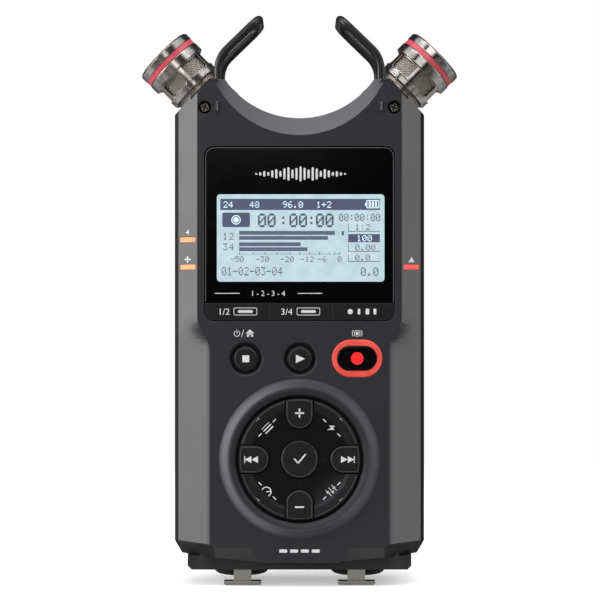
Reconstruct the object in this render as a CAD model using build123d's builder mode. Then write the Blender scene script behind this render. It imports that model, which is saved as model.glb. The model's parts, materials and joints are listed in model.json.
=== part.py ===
from build123d import *
import math
import os

os.makedirs("parts", exist_ok=True)

# Handheld audio recorder, standing upright: +Z runs from the connector end to the
# microphone end, the control face looks along -Y, and +X is the user's right.
# The origin is the middle of the footprint at the lowest point. Millimetres.

# ---------------------------------------------------------------- driving sizes
# Heights in this file are measured from a datum this far below the footprint.
DATUM = -1.45

# casing planes and walls
HALF_W = 35.0            # body half width
FACE_Y = -16.3           # control face
STEP_Y = -14.6           # where the shoulder domes step back to the guard blocks
PART_Y = -2.0            # parting plane between front and rear casing
BACK_Y = 17.5            # rear face
LOW_BACK_Y = 15.7        # floor of the battery cover recess
WALL = 2.0
WALL_BACK = FACE_Y + WALL                # inner side of the face wall
CAVITY_X = HALF_W - WALL                 # cavity half width
CAVITY_TOP = 125.5
BODY_BOTTOM = 5.8        # underside of the connector panel
SHOULDER_TOP = 142.9     # top of the guard blocks

# casing outline, right-hand half: (x, height)
CASING_FOOT = [(0, 8.2), (12, 8.2), (33.0, 10.2), (HALF_W, 14)]
CASING_OUTLINE = CASING_FOOT + [(HALF_W, 133.0), (25.1, SHOULDER_TOP), (0, SHOULDER_TOP)]

# microphone hinges
PIVOT_X, PIVOT_Z = 22.85, 135.05         # hinge line, parallel to Y
HINGES = [(-PIVOT_X, PIVOT_Z), (PIVOT_X, PIVOT_Z)]
DOME_R = 6.5             # front dome radius about the hinge line
KNUCKLE_R = 7.0
SLOT_Y = 9.0             # half depth of the gap the microphones swing through
POCKET_Y = 7.1           # half depth of the knuckle pocket
PIN_R, PIN_HALF = 1.25, 10.2
PIN_SEAT_R, PIN_SEAT_Y = 1.27, 10.3

# microphone guards
GUARD_X, GUARD_Y, GUARD_R = 22.8, 10.35, 1.15
GUARD_SOCKET_R = GUARD_R + 0.05
GUARD_SOCKET_Z = 136.8

# bowl between the microphones
BOWL_R, BOWL_Z = 25.5, 157.6             # arc behind the slanted rim
BOWL_R_FACE, BOWL_Z_FACE = 25.8, 152.8   # the same arc on the face plane
BOWL_BEVEL_Y = -11.3                     # where the slanted rim ends

# flat front panel
PANEL_X_UP, PANEL_X_LOW = 28.4, 24.9     # half widths, upper and lower
PANEL_Z_LOW, PANEL_Z_UP = 67.2, 76.4     # the waist between them

# keys: places are (x, height)
SOFT_KEY_X, SOFT_KEY_Z = 17.42, 78.1
SOFT_KEYS = [(-SOFT_KEY_X, SOFT_KEY_Z), (0, SOFT_KEY_Z), (SOFT_KEY_X, SOFT_KEY_Z)]
STOP_KEY, PLAY_KEY, RECORD_KEY = (-14.9, 64.9), (0.1, 64.9), (16.0, 65.0)
DIAL_Z, DIAL_R = 37.0, 17.65             # control dial opening
DIAL_KEY_R = 16.8
DIAL_AXIS = Axis((0, 0, DIAL_Z + DATUM), (0, 1, 0))
KEY_BACK = -13.3                         # rear of most key flanges
FLANGE_DEPTH = 0.9
BOARD_FRONT, BOARD_BACK = -11.6, -10.4   # key board

# indicator lamps: (x, height) on the right-hand side
LAMP_X, LAMP_HIGH_Z, LAMP_LOW_Z = 31.15, 98.0, 90.4

# connector end
JACK_X, JACK_Y = 16.6, 2.2               # combo jack centres
LATCH_X, LATCH_Y = 15.95, -9.7           # stems of the jack release levers

# screws: (x, height)
BOSSES = [(x, z) for z in (94.0, 24.0) for x in (-29.55, 29.55)]
BOSS_R = 2.45
SHOULDER_SCREWS = [(-26.3, 134.7), (26.3, 134.7)]
THREAD_R, THREAD_HOLE_R = 0.99, 1.02

# rear face
COVER_LOW, COVER_HIGH = 16.0, 92.0       # battery cover
TUB_LOW, TUB_HIGH, TUB_X = 33.0, 90.0, 16.0
TUB_WALL, TUB_END = 1.2, 1.3
TRIPOD_Z, SPEAKER_Z = 100.5, 116.0

# side controls
SIDE_Y = 4.0                             # centre line of the side controls
HOLD_Z, INPUT_Z, PHONE_Z, LEVEL_Z = 105.1, 84.7, 117.3, 84.7
DOOR_LOW, DOOR_HIGH, DOOR_HALF = 40.2, 64.0, 3.3
PIN_AXIS_X = 34.0                        # hinge line of the right-hand door and rocker
DOOR_PIN = (PIN_AXIS_X, DOOR_LOW + 1.0)
ROCKER_PIN = (PIN_AXIS_X, LEVEL_Z)


# ---------------------------------------------------------------- helpers
def front_plane(y):
    """Sketch plane at this y, seen from the front: local x is X, local y is height."""
    return Plane(origin=(0, y, DATUM), x_dir=(1, 0, 0), z_dir=(0, -1, 0))


def side_plane(x):
    """Sketch plane at this x, seen from the right: local x is Y, local y is height."""
    return Plane(origin=(x, 0, DATUM), x_dir=(0, 1, 0), z_dir=(1, 0, 0))


def level_plane(z):
    """Horizontal sketch plane at this height."""
    return Plane.XY.offset(z + DATUM)


def cut_both_sides(cutter):
    """Subtract a cutter and its mirror image from the part being built."""
    add(cutter.part, mode=Mode.SUBTRACT)
    mirror(cutter.part, about=Plane.YZ, mode=Mode.SUBTRACT)


def save(builder, name):
    builder.part.label = name
    export_step(builder.part, f"parts/{name}.step")


def save_mirrored(builder, name):
    with BuildPart() as twin:
        mirror(builder.part, about=Plane.YZ)
    save(twin, name)


def save_pair(builder, stem):
    """Save a left-hand piece and its right-hand mirror image."""
    save(builder, f"{stem}_left")
    save_mirrored(builder, f"{stem}_right")


def from_hinge(x, z):
    """Point given from the left hinge line, in a front plane."""
    return (x - PIVOT_X, z + PIVOT_Z)


def dial_point(y, radius):
    """Point of a dial profile, in a side plane."""
    return (y, DIAL_Z + radius)


def jack_point(radius, z):
    """Point of a left jack profile, in a front plane."""
    return (radius - JACK_X, z)


# ---------------------------------------------------------------- cutting tools
# Side bevel of the front casing, right-hand side. The flat panel is wide beside
# the display and narrow beside the dial, with a soft waist between.
# Stations: (height, share of the way from the lower to the upper half width)
BEVEL_STATIONS = [(PANEL_Z_LOW, 0.0), (69.5, 0.156), (71.8, 0.5), (74.1, 0.844), (PANEL_Z_UP, 1.0)]
BEVEL_FOOT = (33.6, -11.5)
BEVEL_END = (HALF_W, -9.4)
with BuildPart() as bevel_cutter:
    for z, share in BEVEL_STATIONS:
        panel_x = PANEL_X_LOW + (PANEL_X_UP - PANEL_X_LOW) * share
        with BuildSketch(level_plane(z)):
            with BuildLine():
                Line((panel_x, FACE_Y), BEVEL_FOOT)
                ThreePointArc(BEVEL_FOOT, (34.63, -10.62), BEVEL_END)
                Polyline(
                    BEVEL_END, (37.0, -9.4), (37.0, -18.5), (panel_x, -18.5), (panel_x, FACE_Y)
                )
            make_face()
    loft(ruled=False)
    loft_bottom = bevel_cutter.faces().sort_by(Axis.Z)[0]
    loft_top = bevel_cutter.faces().sort_by(Axis.Z)[-1]
    extrude(loft_bottom, amount=80)
    extrude(loft_top, amount=90)

# The bowl: slanted through the first 5 mm, straight after. The slant is carried on
# a little in front of the face.
BOWL_LEAD = 2.0
with BuildPart() as bowl_cutter:
    with BuildSketch(front_plane(FACE_Y - BOWL_LEAD)):
        with Locations((0, BOWL_Z_FACE - 1.92)):
            Circle(BOWL_R_FACE + 0.12)
    with BuildSketch(front_plane(BOWL_BEVEL_Y)):
        with Locations((0, BOWL_Z)):
            Circle(BOWL_R)
    loft(ruled=True)
    with BuildSketch(front_plane(BOWL_BEVEL_Y)):
        with Locations((0, BOWL_Z)):
            Circle(BOWL_R)
    extrude(amount=-40)

# Gap for the swinging microphone: everything outside a fixed radius about the
# hinge line, from the outward position round to the inward one (left side).
# The wide gap clears the capsule, the narrow deeper one clears the neck.
SLOT_R, NECK_SLOT_R = 7.2, 5.7
wide = SLOT_R / math.sqrt(2)
neck = NECK_SLOT_R / math.sqrt(2)
with BuildPart() as slot_cutter:
    with BuildSketch(front_plane(SLOT_Y)):
        with BuildLine():
            Line(from_hinge(-wide - 18, wide - 18), from_hinge(-wide, wide))
            ThreePointArc(from_hinge(-wide, wide), from_hinge(0, SLOT_R), from_hinge(wide, wide))
            Polyline(
                from_hinge(wide, wide),
                from_hinge(wide + 7.2, wide - 7.2),
                from_hinge(wide + 9.2, wide - 5.2),
                from_hinge(wide + 9.2, 40),
                from_hinge(-wide - 18, 40),
                from_hinge(-wide - 18, wide - 18),
            )
        make_face()
    extrude(amount=2 * SLOT_Y)
    with BuildSketch(front_plane(POCKET_Y)):
        with BuildLine():
            Line(from_hinge(-neck - 9, neck - 9), from_hinge(-neck, neck))
            ThreePointArc(
                from_hinge(-neck, neck), from_hinge(0, NECK_SLOT_R), from_hinge(neck, neck)
            )
            Polyline(
                from_hinge(neck, neck),
                from_hinge(neck + 5.4, neck - 5.4),
                from_hinge(neck + 8.0, neck + 8.0),
                from_hinge(-neck - 9, neck + 8.0),
                from_hinge(-neck - 9, neck - 9),
            )
        make_face()
    extrude(amount=2 * POCKET_Y)

# Round pocket for the left knuckle
with BuildPart() as pocket_cutter:
    with BuildSketch(front_plane(POCKET_Y)):
        with Locations(HINGES[0]):
            Circle(KNUCKLE_R + 0.15)
    extrude(amount=2 * POCKET_Y)

# Rear edge bevel, right-hand side
BACK_BEVEL_X = 30.6
BACK_BEVEL_FOOT = (33.9, 14.6)
BACK_BEVEL_END = (HALF_W, 12.3)
with BuildPart() as back_bevel_cutter:
    with BuildSketch(level_plane(-2)):
        with BuildLine():
            Line((BACK_BEVEL_X, BACK_Y), BACK_BEVEL_FOOT)
            ThreePointArc(BACK_BEVEL_FOOT, (34.7, 13.6), BACK_BEVEL_END)
            Polyline(
                BACK_BEVEL_END, (37, 12.3), (37, 19.5), (BACK_BEVEL_X, 19.5), (BACK_BEVEL_X, BACK_Y)
            )
        make_face()
    extrude(amount=160)

# ---------------------------------------------------------------- front casing
RIM_CREST_Y = FACE_Y - 1.2               # foremost line of the dial rim
DISPLAY_LOW, DISPLAY_HIGH = 75.3, 123.9  # recess for the window and the soft keys
# cavity floors: (height, right-hand side points (x, y))
FRONT_CAVITY = [
    (12.6, [(23.9, WALL_BACK), (32.4, -9.6), (CAVITY_X, -8.4)]),
    (77.0, [(27.6, WALL_BACK), (32.4, -9.9), (CAVITY_X, -8.6)]),
]

with BuildPart() as front_casing:
    with BuildSketch(front_plane(PART_Y)):
        with BuildLine():
            Polyline(*CASING_OUTLINE)
            mirror(about=Plane.YZ)
        make_face()
    extrude(amount=PART_Y - STEP_Y)
    # foremost layer, with a dome round each hinge line and a 45 degree flank outside it
    with BuildSketch(front_plane(STEP_Y)):
        dome = DOME_R / math.sqrt(2)
        dome_mid = math.radians(22.5)
        with BuildLine():
            Polyline(
                *CASING_FOOT,
                (HALF_W, PIVOT_Z + dome - (HALF_W - PIVOT_X - dome)),
                (PIVOT_X + dome, PIVOT_Z + dome),
            )
            ThreePointArc(
                (PIVOT_X + dome, PIVOT_Z + dome),
                (PIVOT_X + DOME_R * math.sin(dome_mid), PIVOT_Z + DOME_R * math.cos(dome_mid)),
                (PIVOT_X, PIVOT_Z + DOME_R),
            )
            Line((PIVOT_X, PIVOT_Z + DOME_R), (0, PIVOT_Z + DOME_R))
            mirror(about=Plane.YZ)
        make_face()
    extrude(amount=STEP_Y - FACE_Y)
    cut_both_sides(bevel_cutter)
    add(bowl_cutter.part, mode=Mode.SUBTRACT)
    # raised rim round the control dial
    with BuildSketch(side_plane(0)):
        with BuildLine():
            Polyline(
                dial_point(FACE_Y + 1.0, DIAL_R),
                dial_point(FACE_Y - 0.25, DIAL_R),
                dial_point(FACE_Y - 0.45, DIAL_R + 0.25),
            )
            ThreePointArc(
                dial_point(FACE_Y - 0.45, DIAL_R + 0.25),
                dial_point(FACE_Y - 1.02, 19.0),
                dial_point(RIM_CREST_Y, 19.95),
            )
            ThreePointArc(
                dial_point(RIM_CREST_Y, 19.95),
                dial_point(FACE_Y - 0.75, 21.0),
                dial_point(FACE_Y, 22.3),
            )
            Polyline(
                dial_point(FACE_Y, 22.3),
                dial_point(FACE_Y + 1.0, 22.3),
                dial_point(FACE_Y + 1.0, DIAL_R),
            )
        make_face()
    revolve(axis=DIAL_AXIS, revolution_arc=360)
    # chin: two shallow facets under the face, either side of a central tongue
    chin = Plane(
        origin=(0, FACE_Y, 12.35 + DATUM), x_dir=(1, 0, 0), z_dir=(0, -3.6, -3.0)
    )
    with BuildSketch(chin):
        with BuildLine():
            Polyline((13.0, 0), (25.4, 1.25), (40, 2.7), (40, -14), (6.0, -14), (13.0, 0))
        make_face()
        mirror(about=Plane.YZ)
    extrude(amount=8, mode=Mode.SUBTRACT)
    # lower corner facets, right then left
    for side in (1, -1):
        corner = Plane(
            origin=(side * PANEL_X_LOW, FACE_Y, 13.4 + DATUM),
            x_dir=(8.8, side * 4.9, side * 0.6),
            z_dir=(side * 0.429, -0.702, -0.569),
        )
        with BuildSketch(corner):
            with Locations((side * 4.0, -8.0)):
                Rectangle(24, 16)
        extrude(amount=8, mode=Mode.SUBTRACT)
    # cavity: following the lower bevel, then widened behind the upper panel
    for floor, side_points in FRONT_CAVITY:
        with BuildSketch(level_plane(floor)):
            with BuildLine():
                Polyline((0, WALL_BACK), *side_points, (CAVITY_X, 0), (0, 0))
                mirror(about=Plane.YZ)
            make_face()
        extrude(amount=CAVITY_TOP - floor, mode=Mode.SUBTRACT)
    # bottom opening over the connector panel
    with BuildSketch(front_plane(PART_Y)):
        with Locations((0, 10)):
            Rectangle(56, 8)
    extrude(amount=10.2, mode=Mode.SUBTRACT)
    # microphone gap and knuckle pockets
    cut_both_sides(slot_cutter)
    cut_both_sides(pocket_cutter)
    # hinge pin seats
    with BuildSketch(front_plane(0)):
        with Locations(*HINGES):
            Circle(PIN_SEAT_R)
    extrude(amount=PIN_SEAT_Y, mode=Mode.SUBTRACT)
    # guard leg sockets
    with BuildSketch(level_plane(GUARD_SOCKET_Z)):
        with Locations((-GUARD_X, -GUARD_Y), (GUARD_X, -GUARD_Y)):
            Circle(GUARD_SOCKET_R)
    extrude(amount=20, mode=Mode.SUBTRACT)
    # shoulder screw holes: head, then thread
    for radius, depth in ((1.9, 2.0), (THREAD_HOLE_R, 6.6)):
        with BuildSketch(front_plane(FACE_Y)):
            with Locations(*SHOULDER_SCREWS):
                Circle(radius)
        extrude(amount=-depth, mode=Mode.SUBTRACT)
    # small index ribs beside the screws, over the hinge lines
    with BuildSketch(front_plane(FACE_Y)):
        with Locations((-22.8, 134.9), (22.8, 134.9)):
            SlotOverall(2.9, 0.9, rotation=90)
    extrude(amount=0.5)
    fillet(front_casing.faces().filter_by(Axis.Y).sort_by(Axis.Y)[0:2].edges(), 0.2)
    # display recess, display opening, soft-key openings
    with BuildSketch(front_plane(FACE_Y)):
        with Locations((0, (DISPLAY_LOW + DISPLAY_HIGH) / 2)):
            RectangleRounded(53.0, DISPLAY_HIGH - DISPLAY_LOW, 2.75)
    extrude(amount=-1.2, mode=Mode.SUBTRACT)
    with BuildSketch(front_plane(FACE_Y)):
        with Locations((0, 98.65)):
            RectangleRounded(48.4, 26.4, 1.0)
        with Locations(*SOFT_KEYS):
            Rectangle(15.6, 3.4)
    extrude(amount=-3, mode=Mode.SUBTRACT)
    # stop and play: dished rings with a round hole
    for place in (STOP_KEY, PLAY_KEY):
        with BuildSketch(front_plane(FACE_Y)):
            with Locations(place):
                Circle(4.85)
        with BuildSketch(front_plane(FACE_Y + 0.85)):
            with Locations(place):
                Circle(3.75)
        loft(ruled=True, mode=Mode.SUBTRACT)
    with BuildSketch(front_plane(FACE_Y)):
        with Locations(STOP_KEY, PLAY_KEY):
            Circle(3.6)
    extrude(amount=-3, mode=Mode.SUBTRACT)
    # record key: stadium opening for the light ring
    with BuildSketch(front_plane(FACE_Y)):
        with Locations(RECORD_KEY):
            SlotOverall(14.1, 10.5)
    extrude(amount=-3, mode=Mode.SUBTRACT)
    # dial opening
    with BuildSketch(front_plane(FACE_Y - 2)):
        with Locations((0, DIAL_Z)):
            Circle(DIAL_R)
    extrude(amount=-6, mode=Mode.SUBTRACT)
    # indicator slots through the side bevels
    with BuildSketch(front_plane(-18)):
        with Locations((-LAMP_X, LAMP_HIGH_Z), (-LAMP_X, LAMP_LOW_Z), (LAMP_X, LAMP_LOW_Z)):
            RectangleRounded(4.5, 1.4, 0.35)
    extrude(amount=-9.5, mode=Mode.SUBTRACT)
    # screw bosses, meeting the rear casing's
    with BuildSketch(front_plane(PART_Y)):
        with Locations(*BOSSES):
            Circle(BOSS_R)
    extrude(amount=9.0)
    with BuildSketch(front_plane(PART_Y)):
        with Locations(*BOSSES):
            Circle(THREAD_HOLE_R)
    extrude(amount=7.0, mode=Mode.SUBTRACT)
save(front_casing, "front_casing")

# ---------------------------------------------------------------- rear casing
COVER_RECESS_TOP = COVER_HIGH + 0.2
SIDE_HOLE_R = 0.65                       # pin holes of the door and rocker
# cavity layers: (floor, top, right-hand side points (x, y))
REAR_CAVITY = [
    (10.3, 94.2, [(CAVITY_X, 12.0), (31.6, 13.9), (0, 13.9)]),
    (94.2, CAVITY_TOP, [(CAVITY_X, 12.0), (31.0, 14.4), (29.9, 15.5), (0, 15.5)]),
]
GRILLE_RINGS = [(2.5, 6), (4.9, 12), (7.2, 18)]   # (ring radius, holes)
GRILLE_HOLE_R = 0.62

with BuildPart() as rear_casing:
    with BuildSketch(front_plane(PART_Y)):
        with BuildLine():
            Polyline(*CASING_OUTLINE)
            mirror(about=Plane.YZ)
        make_face()
    extrude(amount=-(BACK_Y - PART_Y))
    cut_both_sides(back_bevel_cutter)
    # sloping top of the back
    with BuildSketch(side_plane(0)):
        with BuildLine():
            Polyline(
                (14.6, SHOULDER_TOP + 1),
                (14.6, SHOULDER_TOP),
                (BACK_Y, 136.0),
                (BACK_Y + 2, 136.0),
                (BACK_Y + 2, SHOULDER_TOP + 1),
                (14.6, SHOULDER_TOP + 1),
            )
        make_face()
    extrude(amount=40, both=True, mode=Mode.SUBTRACT)
    add(bowl_cutter.part, mode=Mode.SUBTRACT)
    cut_both_sides(slot_cutter)
    cut_both_sides(pocket_cutter)
    # recess the battery cover slides in, undercut at both sides
    with BuildSketch(level_plane(4)):
        with BuildLine():
            Polyline(
                (-26.9, LOW_BACK_Y), (26.9, LOW_BACK_Y), (26.15, BACK_Y), (26.15, 20),
                (-26.15, 20), (-26.15, BACK_Y), (-26.9, LOW_BACK_Y),
            )
        make_face()
    extrude(amount=COVER_RECESS_TOP - 4, mode=Mode.SUBTRACT)
    # cavity: shallower under the cover
    for floor, top, side_points in REAR_CAVITY:
        with BuildSketch(level_plane(floor)):
            with BuildLine():
                Polyline((0, PART_Y), (CAVITY_X, PART_Y), *side_points)
                mirror(about=Plane.YZ)
            make_face()
        extrude(amount=top - floor, mode=Mode.SUBTRACT)
    # bottom opening over the connector panel
    with BuildSketch(front_plane(PART_Y)):
        with Locations((0, 10)):
            Rectangle(56, 8)
    extrude(amount=-15.2, mode=Mode.SUBTRACT)
    # battery bay
    with BuildSketch(level_plane(TUB_LOW - TUB_END)):
        with Locations((0, 6.6)):
            Rectangle(2 * (TUB_X + TUB_WALL), 15.0)
    extrude(amount=TUB_HIGH - TUB_LOW + 2 * TUB_END)
    with BuildSketch(level_plane(TUB_LOW)):
        with Locations((0, 8.4)):
            Rectangle(2 * TUB_X, 16.0)
    extrude(amount=TUB_HIGH - TUB_LOW, mode=Mode.SUBTRACT)
    # boss for the tripod insert
    with BuildSketch(front_plane(15.9)):
        with Locations((0, TRIPOD_Z)):
            Circle(6.2)
    extrude(amount=9.4)
    with BuildSketch(front_plane(BACK_Y)):
        with Locations((0, TRIPOD_Z)):
            Circle(4.52)
    extrude(amount=9.5, mode=Mode.SUBTRACT)
    # speaker ring and grille
    with BuildSketch(front_plane(15.7)):
        with Locations((0, SPEAKER_Z)):
            Circle(9.5)
            Circle(8.65, mode=Mode.SUBTRACT)
    extrude(amount=3.2)
    with BuildSketch(front_plane(BACK_Y)):
        with Locations((0, SPEAKER_Z)):
            Circle(GRILLE_HOLE_R)
            for ring_radius, count in GRILLE_RINGS:
                with PolarLocations(ring_radius, count):
                    Circle(GRILLE_HOLE_R)
    extrude(amount=3, mode=Mode.SUBTRACT)
    # casing screw bosses with sunk heads
    with BuildSketch(front_plane(PART_Y)):
        with Locations(*BOSSES):
            Circle(BOSS_R)
    extrude(amount=-16.4)
    with BuildSketch(front_plane(PART_Y)):
        with Locations(*BOSSES):
            Circle(1.15)
    extrude(amount=-22, mode=Mode.SUBTRACT)
    with BuildSketch(front_plane(BACK_Y + 1)):
        with Locations(*BOSSES):
            Circle(1.95)
    extrude(amount=BACK_Y + 1 - 11.4, mode=Mode.SUBTRACT)
    # hinge pin seats and guard sockets
    with BuildSketch(front_plane(PIN_SEAT_Y)):
        with Locations(*HINGES):
            Circle(PIN_SEAT_R)
    extrude(amount=PIN_SEAT_Y, mode=Mode.SUBTRACT)
    with BuildSketch(level_plane(GUARD_SOCKET_Z)):
        with Locations((-GUARD_X, GUARD_Y), (GUARD_X, GUARD_Y)):
            Circle(GUARD_SOCKET_R)
    extrude(amount=20, mode=Mode.SUBTRACT)
    # left side: two slide switch wells and the phones hole
    with BuildSketch(side_plane(-HALF_W)):
        with Locations((SIDE_Y, HOLD_Z), (SIDE_Y, INPUT_Z)):
            RectangleRounded(4.2, 9.8, 0.6)
    extrude(amount=0.8, mode=Mode.SUBTRACT)
    with BuildSketch(side_plane(-HALF_W)):
        with Locations((SIDE_Y, HOLD_Z), (SIDE_Y, INPUT_Z)):
            Rectangle(2.1, 7.6)
        with Locations((SIDE_Y, PHONE_Z)):
            Circle(2.8)
    extrude(amount=2.6, mode=Mode.SUBTRACT)
    # right side: card door and level rocker openings with their pin holes
    with BuildSketch(side_plane(HALF_W)):
        with Locations((SIDE_Y, (DOOR_LOW + DOOR_HIGH) / 2)):
            Rectangle(2 * DOOR_HALF + 0.4, DOOR_HIGH - DOOR_LOW + 0.4)
        with Locations((SIDE_Y, LEVEL_Z)):
            Rectangle(5.2, 16.6)
    extrude(amount=-2.6, mode=Mode.SUBTRACT)
    for place, half_length in ((DOOR_PIN, 4.2), (ROCKER_PIN, 3.3)):
        with BuildSketch(front_plane(SIDE_Y + half_length)):
            with Locations(place):
                Circle(SIDE_HOLE_R)
        extrude(amount=2 * half_length, mode=Mode.SUBTRACT)
save(rear_casing, "rear_casing")

# ---------------------------------------------------------------- bottom cap
with BuildPart() as bottom_cap:
    with BuildSketch(front_plane(-11.8)):
        with BuildLine():
            Polyline(
                (0, BODY_BOTTOM), (30.2, BODY_BOTTOM), (31.3, 6.9), (31.3, 9.98),
                (12, 8.15), (0, 8.15),
            )
            mirror(about=Plane.YZ)
        make_face()
    extrude(amount=-27.4)
    # lip standing up into the casing
    with BuildSketch(level_plane(8.1)):
        with Locations((0, 0.4)):
            Rectangle(55.7, 25.1)
            Rectangle(53.4, 22.8, mode=Mode.SUBTRACT)
    extrude(amount=2.4)
    # jack and release lever openings
    with BuildSketch(level_plane(0)):
        with Locations((-JACK_X, JACK_Y), (JACK_X, JACK_Y)):
            Circle(10.75)
        with Locations((-LATCH_X, LATCH_Y), (LATCH_X, LATCH_Y)):
            Rectangle(5.3, 1.7)
    extrude(amount=14, mode=Mode.SUBTRACT)
save(bottom_cap, "bottom_cap")

# ---------------------------------------------------------------- combo jacks
JACK_TOP, JACK_NOSE = 10.2, 3.1          # heights of the turned part
PLUG_HOLE_R = 3.25
CONTACT_HOLE_R, CONTACT_CIRCLE_R = 1.25, 5.65

with BuildPart() as combo_jack:
    # block inside the casing
    with BuildSketch(level_plane(9.8)):
        with Locations((-JACK_X, JACK_Y)):
            Rectangle(19.8, 18.8)
    extrude(amount=19.6)
    # nose with a groove round it
    with BuildSketch(front_plane(JACK_Y)):
        with BuildLine():
            Line(jack_point(0, JACK_TOP), jack_point(0, JACK_NOSE))
            Line(jack_point(0, JACK_NOSE), jack_point(5.6, JACK_NOSE))
            ThreePointArc(
                jack_point(5.6, JACK_NOSE), jack_point(7.1, 3.45), jack_point(7.9, 4.6)
            )
            Polyline(
                jack_point(7.9, 4.6), jack_point(7.9, 7.6), jack_point(9.5, 7.6),
                jack_point(9.5, 5.1), jack_point(9.7, 4.9), jack_point(10.4, 4.9),
                jack_point(10.6, 5.1), jack_point(10.6, 8.3), jack_point(9.0, JACK_TOP),
                jack_point(0, JACK_TOP),
            )
        make_face()
    revolve(axis=Axis((-JACK_X, JACK_Y, 0), (0, 0, 1)), revolution_arc=360)
    # central hole and three contact holes
    with BuildSketch(level_plane(2)):
        with Locations((-JACK_X, JACK_Y)):
            Circle(PLUG_HOLE_R)
            with PolarLocations(CONTACT_CIRCLE_R, 3, start_angle=90):
                Circle(CONTACT_HOLE_R)
    extrude(amount=22, mode=Mode.SUBTRACT)
save_pair(combo_jack, "combo_jack")

# release levers of the jacks: thumb plate, stem and crosspiece
with BuildPart() as latch:
    with BuildSketch(level_plane(-DATUM)):
        with Locations((-LATCH_X, -9.9)):
            RectangleRounded(10.4, 3.2, 0.6)
    extrude(amount=1.1)
    chamfer(latch.faces().sort_by(Axis.Z)[0].edges(), 0.25)
    for z, width, height in ((2.0, 4.9, 9.8), (11.0, 6.6, 0.8)):
        with BuildSketch(level_plane(z)):
            with Locations((-LATCH_X, LATCH_Y)):
                Rectangle(width, 1.4)
        extrude(amount=height)
save_pair(latch, "latch")

# ---------------------------------------------------------------- display stack
WINDOW_X, WINDOW_LOW, WINDOW_HIGH = 26.3, 80.5, 123.7
LCD_Z = 98.9

# window with rounded upper corners
with BuildPart() as display_window:
    with BuildSketch(front_plane(-15.15)):
        with BuildLine():
            Line((0, WINDOW_LOW), (WINDOW_X, WINDOW_LOW))
            Line((WINDOW_X, WINDOW_LOW), (WINDOW_X, 121.1))
            ThreePointArc((WINDOW_X, 121.1), (25.54, 122.94), (23.7, WINDOW_HIGH))
            Line((23.7, WINDOW_HIGH), (0, WINDOW_HIGH))
            mirror(about=Plane.YZ)
        make_face()
    extrude(amount=1.1)
    chamfer(display_window.faces().sort_by(Axis.Y)[0].edges(), 0.15)
save(display_window, "display_window")

# (name, rear y, width, height)
for name, rear_y, width, height in (
    ("lcd_panel", -13.0, 51.0, 30.0),
    ("lcd_backlight", -11.7, 50.0, 29.4),
):
    with BuildPart() as display_layer:
        with BuildSketch(front_plane(rear_y)):
            with Locations((0, LCD_Z)):
                Rectangle(width, height)
        extrude(amount=1.25)
    save(display_layer, name)

# ---------------------------------------------------------------- function keys
FUNCTION_KEY_LOW, FUNCTION_KEY_HIGH = 75.5, 80.35
FUNCTION_KEY_CORNER_R = 2.3
# (left edge, right edge, stem x, flange x)
FUNCTION_KEYS = [
    (-26.3, -8.8, -SOFT_KEY_X, -16.5),
    (-8.65, 8.65, 0, 0),
    (8.8, 26.3, SOFT_KEY_X, 16.5),
]
for number, (left, right, stem_x, flange_x) in enumerate(FUNCTION_KEYS, start=1):
    with BuildPart() as function_key:
        with BuildSketch(front_plane(-15.5)):
            with Locations(((left + right) / 2, (FUNCTION_KEY_LOW + FUNCTION_KEY_HIGH) / 2)):
                Rectangle(right - left, FUNCTION_KEY_HIGH - FUNCTION_KEY_LOW)
        extrude(amount=0.75)
        # outer lower corners follow the display recess
        if number == 1:
            left_edges = function_key.edges().filter_by(Axis.Y).group_by(Axis.X)[0]
            fillet(left_edges.sort_by(Axis.Z)[0], FUNCTION_KEY_CORNER_R)
        if number == 3:
            right_edges = function_key.edges().filter_by(Axis.Y).group_by(Axis.X)[-1]
            fillet(right_edges.sort_by(Axis.Z)[0], FUNCTION_KEY_CORNER_R)
        chamfer(function_key.faces().sort_by(Axis.Y)[0].edges(), 0.18)
        with BuildSketch(front_plane(-14.2)):
            with Locations((stem_x, SOFT_KEY_Z)):
                Rectangle(15.3, 3.1)
        extrude(amount=1.4)
        with BuildSketch(front_plane(KEY_BACK)):
            with Locations((flange_x, SOFT_KEY_Z)):
                Rectangle(14.6, 4.3)
        extrude(amount=FLANGE_DEPTH)
    save(function_key, f"function_key_{number}")

# ---------------------------------------------------------------- transport keys
for name, place in (("stop_key", STOP_KEY), ("play_key", PLAY_KEY)):
    with BuildPart() as transport_key:
        with BuildSketch(front_plane(KEY_BACK)):
            with Locations(place):
                Circle(4.3)
        extrude(amount=FLANGE_DEPTH)
        with BuildSketch(front_plane(-14.2)):
            with Locations(place):
                Circle(3.4)
        extrude(amount=2.3)
        fillet(transport_key.faces().sort_by(Axis.Y)[0].edges(), 0.4)
    save(transport_key, name)

with BuildPart() as record_key:
    with BuildSketch(front_plane(KEY_BACK)):
        with Locations(RECORD_KEY):
            SlotOverall(12.4, 8.2)
    extrude(amount=0.5)
    with BuildSketch(front_plane(-13.8)):
        with Locations(RECORD_KEY):
            SlotOverall(11.0, 6.8)
    extrude(amount=3.0)
    fillet(record_key.faces().sort_by(Axis.Y)[0].edges(), 0.4)
save(record_key, "record_key")

# flange, then the ring itself: (rear y, length, height, depth)
RING_LAYERS = [(-13.9, 15.2, 11.6, 0.3), (-14.2, 13.9, 10.3, 2.25)]
with BuildPart() as record_light_ring:
    for rear_y, length, height, depth in RING_LAYERS:
        with BuildSketch(front_plane(rear_y)):
            with Locations(RECORD_KEY):
                SlotOverall(length, height)
                SlotOverall(11.3, 7.1, mode=Mode.SUBTRACT)
        extrude(amount=depth)
    chamfer(record_light_ring.faces().sort_by(Axis.Y)[0].outer_wire().edges(), 0.25)
save(record_light_ring, "record_light_ring")

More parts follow.
